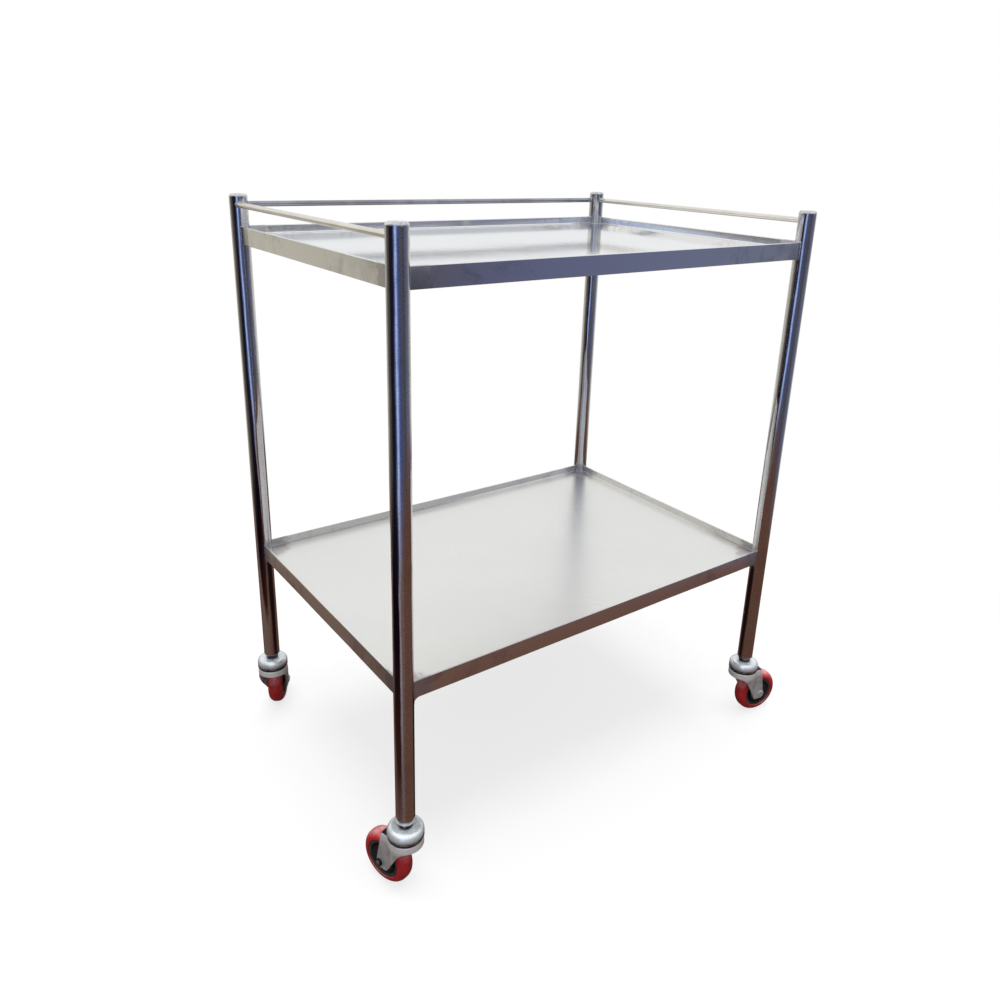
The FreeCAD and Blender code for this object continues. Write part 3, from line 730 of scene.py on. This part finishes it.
# Points on a shelf's notch round its post, from the well's end to the well's side
def notchArc(edgeX, edgeY, count):
    inset = shelf["rimWidth"] + shelf["wellRadius"]
    offX, offY = edgeX - inset - halfX, edgeY - inset - halfY
    first = math.atan2(-math.sqrt(tube["notch"] ** 2 - offX**2), offX)
    last = math.atan2(offY, -math.sqrt(tube["notch"] ** 2 - offY**2))
    turn = np.linspace(first, last, count)
    return halfX + tube["notch"] * np.cos(turn), halfY + tube["notch"] * np.sin(turn)


# The deck: rows between the two ends, each one as wide as the well or up to the notch's circle,
# and a shallow sag of one cosine arch each way with a few slow ripples
def shelfDeck(top, edgeX, edgeY, alongX, alongY):
    endX, endY = notchArc(edgeX, edgeY, 9)
    middle = np.full(len(alongY), edgeX - shelf["rimWidth"] - shelf["wellRadius"])
    y = np.concatenate([-endY[:0:-1], alongY * endY[0], endY[1:]])
    wide = np.concatenate([endX[:0:-1], middle, endX[1:]])
    x = wide[:, None] * alongX[None]
    y = y[:, None] + 0 * x
    fade = np.cos(x / edgeX * math.pi / 2) * np.cos(y / edgeY * math.pi / 2)
    ripple = shelf["ripple"] * fade * np.sin(x / shelf["rippleX"]) * np.cos(y / shelf["rippleY"])
    deck = np.stack([x, y, top - shelf["wellDepth"] - shelf["sag"] * fade + ripple], -1)
    return deck.reshape(-1, 3), gridFaces(len(y), len(alongX))


# Shares of a side's length, close together near the posts and even between them
def shares(half, middle):
    near = np.array([0, 0.3, 0.8, 1.6, 2.6, 3.8, 5.2, 6.6, 8.0, 12.0]) / half
    right = 1 - near[::-1]
    return np.concatenate([-right[::-1], np.linspace(-right[0], right[0], middle)[1:-1], right])


# The weld at one corner: a bead along the coped edge, from the long side's lip up its apron, over the
# rim, down to the deck, round the notch and back over the short side
def cornerWeld(long, short, edgeX, edgeY, deckLevel):
    arcX, arcY = notchArc(edgeX, edgeY, 14)
    arc = np.stack([arcX, arcY, 0 * arcX + deckLevel], -1)[-2:0:-1]
    other = short[:, 0] @ np.array([(0, -1, 0), (1, 0, 0), (0, 0, 1)])
    corners = np.concatenate([long[::-1, -1], arc, other])
    gone = np.concatenate([[0], np.cumsum(np.linalg.norm(np.diff(corners, axis=0), axis=1))])
    even = np.linspace(0, gone[-1], int(gone[-1] / bead["step"]))
    path = np.stack([np.interp(even, gone, corners[:, i]) for i in range(3)], -1)
    outward = path * (1, 1, 0) - (halfX, halfY, 0)
    return beadAlong(path, outward, gone[-1] / bead["rippleLength"], around=8)


def makeShelves():
    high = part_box("upper_tray")[1]
    edgeX, edgeY = high.x / mm, high.y / mm
    alongX, alongY = shares(halfX, 41), shares(halfY, 31)
    welds = []
    for node, top in shelfTop.items():
        flare = shelfFlare[node]
        long = shelfSide(top, edgeY, halfX, halfY, alongX, flare)
        short = shelfSide(top, edgeX, halfY, halfX, alongY, flare)
        weld, quads = cornerWeld(long[0], short[0], edgeX, edgeY, top - shelf["wellDepth"])
        welds += [placed((weld * (sideX, sideY, 1), quads)) for sideX in (-1, 1) for sideY in (-1, 1)]
        parts = [placed(shelfDeck(top, edgeX, edgeY, alongX, alongY))]
        for turn, (points, faces) in ((0, long), (180, long), (90, short), (-90, short)):
            parts.append(placed((points.reshape(-1, 3), faces), turned(turn)))
        name = node.replace("tray", "shelf_sheet")
        sheet = makePiece(name, joined(parts), "frame", sheetFinish[node])
        thicken(sheet, shelf["sheet"], shelf["edge"])
        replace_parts(sheet, node)
    makePiece("shelf_welds", joined(welds), "frame", capFinish, sharp=60)


makePosts()
makeRails()
makeShelves()
print("posts, rails and shelves made")


# Caster sizes in millimetres, round the stem's line unless noted
head = {
    "nutAcross": 17.0, "collarRadius": 9.5, "collarHeight": 2.0, "stemRadius": 5.0, "stemHead": 7.5,
    "stemHeadHeight": 2.0, "capSheet": 2.0, "capShoulder": 8.0, "gap": 0.05, "collarEdge": 0.8,
}
# The two rows of balls: radius, distance out, level and count
ballRows = ((3.175, 18.46, 99.96, 18), (2.38, 10.58, 84.62, 13))
fork = {
    "crown": 24.0, "waist": 8.0, "cheek": 17.5, "sheet": 2.3, "bend": 2.6, "plateRear": 27.5,
    "plateTop": 89.5, "skirt": 11.0, "frontTop": 10.6, "frontRadius": 15.0, "footDrop": 8.9,
    "footFront": 12.3, "footFrontRadius": 3.0, "footRear": 7.3, "footRearRadius": 6.0,
    "bossFoot": 19.28, "bossEdge": 17.78, "bossSlopeTop": 14.58, "bossTop": 99.28, "bossSlope": 3.2,
    "hole": 8.2, "edge": 0.35, "ahead": -60.0,
}
wheel = {
    "radius": 38.1, "tyreBore": 27.0, "half": 12.25, "shoulder": 10.6, "coreHalf": 11.5, "lip": 22.5,
    "groove": 18.5, "grooveDepth": 5.0, "boreRadius": 5.05, "bushInner": 3.05, "bushHalf": 15.1,
    "boltRadius": 3.0, "boltHead": 6.0, "boltHeadHeight": 1.8, "nutAcross": 10.0, "nutHeight": 3.2,
    "boltEnd": 21.3, "dimple": 1.4, "dimpleRadius": 1.8,
}


def makeSwivelHeads():
    capLow, capTop = levels("race_caps")
    nutLow, nutHigh = levels("stem_jam_nuts")
    stemLow, stemTop = levels("caster_stems")
    raceLow, raceTop = levels("lower_races")
    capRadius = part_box("race_caps")[1].x / mm - halfX
    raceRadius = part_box("lower_races")[1].x / mm - halfX
    radius = head["stemRadius"]
    hole = radius + head["gap"]
    inner = capRadius - head["capSheet"]
    cap = closedRing([
        (hole, capTop - head["capSheet"], 0.2),
        (inner, capTop - head["capSheet"], head["capShoulder"] - head["capSheet"]), (inner, capLow, 0.5),
        (capRadius, capLow, 0.5), (capRadius, capTop, head["capShoulder"]), (hole, capTop, 0.2),
    ], steps=12, segments=128)
    nut = hexNut(head["nutAcross"], hole, nutLow, nutHigh)
    headTop = stemLow + head["stemHeadHeight"]
    collarTop = capTop + head["collarHeight"]
    stem = revolved(roundedLine([
        (0, stemLow, 0), (head["stemHead"], stemLow, 0.8), (head["stemHead"], headTop, 0.3),
        (radius, headTop, 0), (radius, capTop, 0), (head["collarRadius"], capTop, 0.3),
        (head["collarRadius"], collarTop, head["collarEdge"]), (radius, collarTop, 0),
        (radius, stemTop, 0.6), (0, stemTop, 0),
    ]), 96)
    race = closedRing([
        (hole, raceLow, 0.2), (raceRadius, raceLow, 0.2), (raceRadius, raceTop, 0.2), (hole, raceTop, 0.2),
    ], steps=3)
    kinds = {
        "race_caps": (cap, zincFinish, "zinc_steel", 30),
        "stem_jam_nuts": (nut, shadedNutFinish, "zinc_steel", 25),
        "caster_stems": (stem, darkFinish, "dark_steel", 35),
        "lower_races": (race, zincFinish, "zinc_steel", 35),
    }
    for node, (part, finish, slotName, sharp) in kinds.items():
        group = joined([placed(part, postPlace(c) @ turned(17 + 23 * i)) for i, c in enumerate(cornerNames)])
        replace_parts(makePiece("turned_" + node, group, "frame", finish, sharp), node)
    balls = []
    tilt = np.linspace(-math.pi / 2, math.pi / 2, 11)
    for corner in cornerNames:
        for size, out, level, count in ballRows:
            ball = revolved(np.stack([size * np.cos(tilt), size * np.sin(tilt)], -1), 20)
            for i in range(count):
                spot = turned(360 * i / count) @ Matrix.Translation((out * mm, 0, level * mm))
                balls.append(placed(ball, postPlace(corner) @ spot))
    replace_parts(makePiece("ball_rows", joined(balls), "frame", ballFinish), "swivel_ball_rings")


# The fork's lower and rear edges from the side, as heights over x
def forkEdges():
    top = fork["plateTop"]
    foot = axleHeight / mm - fork["footDrop"]
    heel = trail / mm + fork["footRear"]
    skirt = top - fork["skirt"]
    below = roundedLine([
        (fork["ahead"], skirt, 0),
        (-fork["frontTop"], skirt, fork["frontRadius"]),
        (trail / mm - fork["footFront"], foot, fork["footFrontRadius"]),
        (heel, foot, fork["footRearRadius"]),
        (fork["plateRear"], top, 0),
    ], steps=24)
    last = int(np.argmax(below[:, 0]))
    return below[:last + 1], below[last:][::-1]


# The pressed fork as one open sheet, thickened inwards.
# Wall: columns along the plan outline, rows from the bend down to the lower edge.
# Bend: a quarter circle of rows from the wall in to the flat top.
# Top: rows from the bend to the ball track's ring, up its slope and in to the hole.
def forkSheet():
    crown, waist, cheek, top = fork["crown"], fork["waist"], fork["cheek"], fork["plateTop"]
    waistX = math.sqrt((crown + waist) ** 2 - (cheek + waist) ** 2)
    lean = math.atan2(cheek + waist, waistX)
    lower, upper = forkEdges()
    tip = lower[-1, 0]
    front = np.linspace(math.pi, lean, 40)
    bow = np.linspace(lean + math.pi, 1.5 * math.pi, 12)[1:]
    straight = np.linspace(waistX, fork["plateRear"], 8)[1:]
    rear = fork["plateRear"] + (tip - fork["plateRear"]) * np.sin(np.linspace(0, math.pi / 2, 24))[1:]
    x = np.concatenate([crown * np.cos(front), waistX + waist * np.cos(bow), straight, rear])
    flat = np.ones(len(straight) + len(rear))
    y = np.concatenate([crown * np.sin(front), cheek + waist + waist * np.sin(bow), flat * cheek])
    nx = np.concatenate([np.cos(front), -np.cos(bow), flat * 0])
    ny = np.concatenate([np.sin(front), -np.sin(bow), flat])
    high = np.minimum(top - fork["bend"], np.interp(x, upper[:, 0], upper[:, 1], left=top))
    high[x <= fork["plateRear"]] = top - fork["bend"]
    low = np.minimum(np.interp(x, lower[:, 0], lower[:, 1]), high)
    share = np.linspace(0, 1, 22)[:, None]
    z = high + share * (low - high)
    wall = np.stack([x + 0 * z, y + 0 * z, z], -1)
    count = len(front) + len(bow) + len(straight)
    turn = np.linspace(0, math.pi / 2, 7)[:, None]
    inward = fork["bend"] * (1 - np.cos(turn))
    bend = np.stack([
        x[:count] - nx[:count] * inward,
        y[:count] - ny[:count] * inward,
        top - fork["bend"] + fork["bend"] * np.sin(turn) + 0 * x[:count],
    ], -1)
    rearY = np.linspace(cheek - fork["bend"], 0, 9)[1:]
    edge = np.concatenate([bend[-1, :, :2], np.stack([np.full(8, fork["plateRear"]), rearY], -1)])
    angle = np.arctan2(edge[:, 1], edge[:, 0])
    angle[0] = math.pi
    spoke = np.stack([np.cos(angle), np.sin(angle)], -1)
    inner = spoke * fork["bossFoot"]
    level = np.ones((len(edge), 1))
    rows = [np.concatenate([edge + (inner - edge) * s, level * top], 1) for s in np.linspace(0, 1, 7)]
    track = roundedLine([
        (fork["bossFoot"], top, 0), (fork["bossEdge"], fork["bossTop"] - fork["bossSlope"], 1.0),
        (fork["bossSlopeTop"], fork["bossTop"], 0.6), (fork["hole"], fork["bossTop"], 0),
    ], steps=4)[1:]
    rows += [np.concatenate([spoke * out, level * height], 1) for out, height in track]
    plate = np.stack(rows)
    half = [(grid.reshape(-1, 3), gridFaces(*grid.shape[:2])) for grid in (wall, bend, plate)]
    mirrored = [(points * (1, -1, 1), faces[:, ::-1]) for points, faces in half]
    return joined(half + mirrored)


def makeForks():
    sheet = forkSheet()
    for corner in cornerNames:
        part = placed(sheet, casterPlace(corner))
        piece = makePiece("fork_sheet_" + corner, part, "fork_" + corner, forkFinish, 50)
        thicken(piece, fork["sheet"], fork["edge"])
        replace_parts(piece, "fork_" + corner)


# A ring that is the same on both sides of the wheel, from its corners on the side of the bolt's head
def twoSided(corners, steps, segments):
    return closedRing(corners + [(out, -along, edge) for out, along, edge in corners[::-1]], steps, segments)


def makeWheels():
    w = wheel
    face = -w["coreHalf"]
    floor = face + w["grooveDepth"]
    tyre = twoSided([(w["tyreBore"], -w["half"], 0.4), (w["radius"], -w["half"], w["shoulder"])], 10, 160)
    core = twoSided([
        (w["boreRadius"], face, 0.3), (w["groove"], face, 0.8), (w["groove"], floor, 1.2),
        (w["lip"], floor, 1.2), (w["lip"], face, 0.5), (w["tyreBore"], face, 0.2),
    ], 4, 128)
    bush = twoSided([(w["bushInner"], -w["bushHalf"], 0.1), (w["boreRadius"], -w["bushHalf"], 0.3)], 2, 64)
    seat = fork["cheek"]
    headEnd = -seat - w["boltHeadHeight"]
    bolt = revolved(roundedLine([
        (0, headEnd + w["dimple"], 0), (w["dimpleRadius"], headEnd, 0.4), (w["boltHead"], headEnd, 1.1),
        (w["boltHead"], -seat, 0.1), (w["boltRadius"], -seat, 0), (w["boltRadius"], w["boltEnd"], 0.6),
        (0, w["boltEnd"], 0),
    ], steps=6), 96)
    nut = hexNut(w["nutAcross"], w["boltRadius"] + 0.05, seat, seat + w["nutHeight"])
    coreFinish = corePlastic(w["lip"] * mm)
    boltFinish = boltSteel(seat * mm)
    tyreFinish = tyreRed(w["radius"] * mm)
    for i, corner in enumerate(cornerNames):
        spin = axlePlace(corner) @ turned(40 * i + 11)
        onWheel, onFork = "wheel_" + corner, "fork_" + corner
        for node, part, body, finish, slotName in (
            ("tyre_", tyre, onWheel, tyreFinish, "tyre_red"),
            ("wheel_core_", core, onWheel, coreFinish, "core_plastic"),
            ("hub_bush_", bush, onWheel, zincFinish, "zinc_steel"),
            ("axle_bolt_", bolt, onFork, boltFinish, "zinc_steel"),
            ("axle_nut_", nut, onFork, darkFinish, "dark_steel"),
        ):
            piece = makePiece("turned_" + node + corner, placed(part, spin), body, finish)
            markAxle(piece, corner)
            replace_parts(piece, node + corner)


# The pieces that stay as they are in the frame only take a finish
def dressHidden():
    for node, finish in (
        ("upper_tray_stiffener", sheetFinish["upper_tray"]),
        ("lower_tray_stiffener", sheetFinish["lower_tray"]),
        ("tube_end_inserts", zincFinish),
    ):
        mesh = frame["nodes"][node].data
        mesh.materials.clear()
        mesh.materials.append(finish)


makeSwivelHeads()
makeForks()
makeWheels()
dressHidden()
print("casters made")


# Surroundings. Angles are degrees from +X towards +Y, seen from the trolley, and sizes are metres.
stageSize = {
    "floorRadius": 14.0, "cardRadius": 2.2, "cardHigh": 2.0, "cardFade": 0.4,
    "eyeLow": 0.85, "eyeHigh": 1.02, "fadeStart": 0.35, "fadeEnd": 1.25, "fadeLeast": 0.72,
}
wallColours = [
    (0.0, (0.62, 0.62, 0.60)), (20.0, (0.80, 0.80, 0.78)), (60.0, (0.85, 0.84, 0.82)),
    (95.0, (0.62, 0.60, 0.51)), (125.0, (0.48, 0.45, 0.38)), (138.0, (0.16, 0.14, 0.12)),
    (168.0, (0.05, 0.045, 0.045)), (176.0, (0.012, 0.010, 0.014)), (200.0, (0.014, 0.013, 0.035)),
    (211.0, (0.12, 0.16, 0.36)), (219.0, (0.55, 0.70, 1.0)), (226.0, (0.38, 0.50, 0.90)),
    (236.0, (0.09, 0.13, 0.34)), (250.0, (0.07, 0.09, 0.20)), (262.0, (0.10, 0.10, 0.13)),
    (285.0, (0.085, 0.077, 0.080)), (300.0, (0.115, 0.125, 0.22)), (318.0, (0.15, 0.165, 0.26)),
    (332.0, (0.18, 0.19, 0.22)), (345.0, (0.34, 0.35, 0.34)), (360.0, (0.62, 0.62, 0.60)),
]
highColours = [
    (0.0, (0.80, 0.80, 0.79)), (30.0, (0.88, 0.895, 0.91)), (95.0, (0.88, 0.895, 0.90)),
    (118.0, (0.92, 0.915, 0.89)), (150.0, (0.92, 0.91, 0.88)), (166.0, (0.40, 0.39, 0.38)),
    (200.0, (0.22, 0.23, 0.30)), (219.0, (0.60, 0.72, 1.0)), (240.0, (0.42, 0.45, 0.52)),
    (280.0, (0.62, 0.64, 0.67)), (304.0, (0.62, 0.64, 0.68)), (330.0, (0.60, 0.62, 0.66)),
    (345.0, (0.66, 0.66, 0.67)), (360.0, (0.80, 0.80, 0.79)),
]
skyColour = (0.95, 0.95, 0.95)
# The ground's colours; the one under the trolley is its painted shadow
groundColours = {
    "open": (0.142, 0.070, 0.050), "under": (0.012, 0.006, 0.006), "left": (0.175, 0.115, 0.090),
    "bandNear": (0.040, 0.013, 0.009), "bandFar": (0.006, 0.003, 0.006), "streak": (0.30, 0.25, 0.28),
}
# Where each area of the mirrored ground begins and where it is full
groundEdges = {
    "underX": (0.36, 0.26), "underY": (0.25, 0.16), "left": (-0.36, -0.50), "band": (-0.40, -0.50),
    "bandFront": (-0.30, -0.20), "bandRear": (-0.46, -0.54), "bandFar": (-0.50, -0.75),
    "streakTurn": (0.018, 0.008), "streakOut": (0.45, 0.7), "room": (0.95, 1.6),
}
groundLines = {"frontSlope": -0.35, "rearSlope": 1.2, "streakAngle": 215}
floorTones = {"seen": (0.93, 0.93, 0.93), "unseen": (0.15, 0.12, 0.11)}


# A surface of the stage from a profile carried round, with a material that has only its output
def stageSurface(name, profile):
    points, faces = revolved(np.array(profile), 96)
    mesh = bpy.data.meshes.new(name)
    mesh.from_pydata(points.tolist(), [], faces.tolist())
    material = bpy.data.materials.new(name)
    material.use_nodes = True
    tree = material.node_tree
    tree.nodes.clear()
    mesh.materials.append(material)
    made = bpy.data.objects.new(name, mesh)
    scene.collection.objects.link(made)
    return made, tree, tree.nodes.new("ShaderNodeOutputMaterial").inputs["Surface"]


# Lets a card glow in the steel alone
def reflectedOnly(card, tree, surface, colour):
    fill(tree, surface, addNode(tree, "ShaderNodeEmission", Color=colour).outputs[0])
    card.visible_camera = False
    card.visible_diffuse = False
    card.visible_shadow = False
    card.visible_transmission = False


def worldPlace(tree):
    return split(tree, addNode(tree, "ShaderNodeNewGeometry").outputs["Position"])


# The colours round the room, with the place and the share of a whole turn they are read at
def compass(tree, colours):
    at = worldPlace(tree)
    angle = calc(tree, "ARCTAN2", at["Y"], at["X"])
    turns = calc(tree, "FRACT", calc(tree, "ADD", calc(tree, "DIVIDE", angle, 2 * math.pi), 1.0))
    return ramp(tree, turns, [(degrees / 360, colour) for degrees, colour in colours]), at, turns


# What the steel mirrors at eye level and above: pale, dark and blue areas round the room
def makeRoomCard():
    radius, top = stageSize["cardRadius"], stageSize["cardHigh"]
    card, tree, surface = stageSurface("room_card", [(radius, -0.1), (radius, top)])
    low, at = compass(tree, wallColours)[:2]
    high = compass(tree, highColours)[0]
    colour = mixColour(tree, mapRange(tree, at["Z"], stageSize["eyeLow"], stageSize["eyeHigh"]), low, high)
    colour = mixColour(tree, mapRange(tree, at["Z"], top - stageSize["cardFade"], top), colour, skyColour)
    reflectedOnly(card, tree, surface, colour)


# What the steel mirrors from below: a brown ground that passes into the room's colours, with a painted shadow
# of the trolley beneath it, darker in a band to its left, and a mauve streak to the front left
def makeFloorCard():
    rings = [(out, 0.002) for out in (0.0, 0.6, 1.2, stageSize["cardRadius"])]
    card, tree, surface = stageSurface("floor_card", rings)
    room, at, turns = compass(tree, wallColours)

    def area(value, edges):
        return mapRange(tree, value, *groundEdges[edges])

    def sideOf(slope):
        return calc(tree, "ADD", at["Y"], times(tree, at["X"], groundLines[slope]))

    far = longSide(tree, at["X"], at["Y"])
    across = calc(tree, "ABSOLUTE", at["X"])
    along = calc(tree, "ABSOLUTE", at["Y"])
    under = times(tree, area(across, "underX"), area(along, "underY"))
    inside = times(tree, area(sideOf("frontSlope"), "bandFront"), area(sideOf("rearSlope"), "bandRear"))
    dark = mixColour(tree, area(at["X"], "bandFar"), groundColours["bandNear"], groundColours["bandFar"])
    fromStreak = calc(tree, "SUBTRACT", turns, groundLines["streakAngle"] / 360)
    onStreak = area(calc(tree, "ABSOLUTE", fromStreak), "streakTurn")
    ground = groundColours["open"]
    for mask, colour in (
        # The trolley's shadow painted dark on the mirrored ground beneath it
        (under, groundColours["under"]),
        (area(at["X"], "left"), groundColours["left"]),
        (times(tree, area(at["X"], "band"), inside), dark),
        (times(tree, onStreak, area(far, "streakOut")), groundColours["streak"]),
        (area(far, "room"), room),
    ):
        ground = mixColour(tree, mask, ground, colour)
    reflectedOnly(card, tree, surface, ground)


# The white ground in view: a soft shadow near the trolley that fades to plain white further out
def makeFloor():
    rings = [(out, 0.0) for out in (0.0, 1.0, stageSize["floorRadius"])]
    floor, tree, surface = stageSurface("floor", rings)
    at = worldPlace(tree)
    far = longSide(tree, at["X"], at["Y"])
    seen = addNode(tree, "ShaderNodeLightPath").outputs["Is Camera Ray"]
    tone = mixColour(tree, seen, floorTones["unseen"], floorTones["seen"])
    clear = mapRange(tree, far, stageSize["fadeStart"], stageSize["fadeEnd"], stageSize["fadeLeast"], 1.0)
    matt = addNode(tree, "ShaderNodeBsdfDiffuse", Color=tone)
    white = addNode(tree, "ShaderNodeEmission", Color=(1, 1, 1))
    both = addNode(tree, "ShaderNodeMixShader")
    for socket, value in zip(both.inputs, (times(tree, clear, seen), matt.outputs[0], white.outputs[0])):
        fill(tree, socket, value)
    fill(tree, surface, both.outputs[0])
    floor.visible_glossy = False


# White for the eye, near white where the steel mirrors the sky, and soft light for the rest
def makeWorld():
    world = bpy.data.worlds.new("studio")
    world.use_nodes = True
    tree = world.node_tree
    path = addNode(tree, "ShaderNodeLightPath").outputs
    upward = split(tree, addNode(tree, "ShaderNodeTexCoord").outputs["Generated"])["Z"]
    soft = mixColour(tree, mapRange(tree, upward, 0.0, 0.9), (0.08, 0.082, 0.09), (0.80, 0.81, 0.83))
    tone = mixColour(tree, path["Is Glossy Ray"], soft, skyColour)
    tone = mixColour(tree, path["Is Camera Ray"], tone, (1, 1, 1))
    fill(tree, tree.nodes["Background"].inputs["Color"], tone)
    scene.world = world


def makeLamp(name, place, aim, size, power):
    lamp = bpy.data.lights.new(name, "AREA")
    lamp.size = size
    lamp.energy = power
    holder = bpy.data.objects.new(name, lamp)
    holder.location = place
    holder.rotation_euler = (Vector(aim) - Vector(place)).to_track_quat("-Z", "Y").to_euler()
    holder.visible_glossy = False
    holder.visible_camera = False
    scene.collection.objects.link(holder)


# The eye: a pinhole whose place and angles come from lines of the trolley seen in the picture.
# It heads from +X towards +Y, tilts up from level and rolls about its own line of sight, in degrees.
def makeCamera():
    lens = {
        "focalPixels": 841.55, "centreX": 512.78, "centreY": 445.29, "pixels": 1000, "near": 0.02,
        "place": (-0.7577, -0.9948, 0.9366), "heading": 53.127, "tilt": -19.444, "roll": 1.887,
    }
    camera = bpy.data.cameras.new("main")
    camera.sensor_width = 36
    camera.lens = lens["focalPixels"] * camera.sensor_width / lens["pixels"]
    camera.shift_x = 0.5 - lens["centreX"] / lens["pixels"]
    camera.shift_y = lens["centreY"] / lens["pixels"] - 0.5
    camera.clip_start = lens["near"]
    holder = bpy.data.objects.new("main", camera)
    aim = turned(lens["heading"] - 90) @ Matrix.Rotation(math.radians(90 + lens["tilt"]), 4, "X")
    holder.matrix_world = Matrix.Translation(lens["place"]) @ aim @ turned(lens["roll"])
    scene.collection.objects.link(holder)
    scene.camera = holder


makeWorld()
makeFloor()
makeRoomCard()
makeFloorCard()
makeLamp("overhead", (0.0, 0.0, 2.6), (0, 0, 0.2), 2.2, 88)
makeLamp("front_fill", (-1.9, -1.9, 1.9), (0, 0, 0.2), 1.4, 20)
makeCamera()
print("stage made")
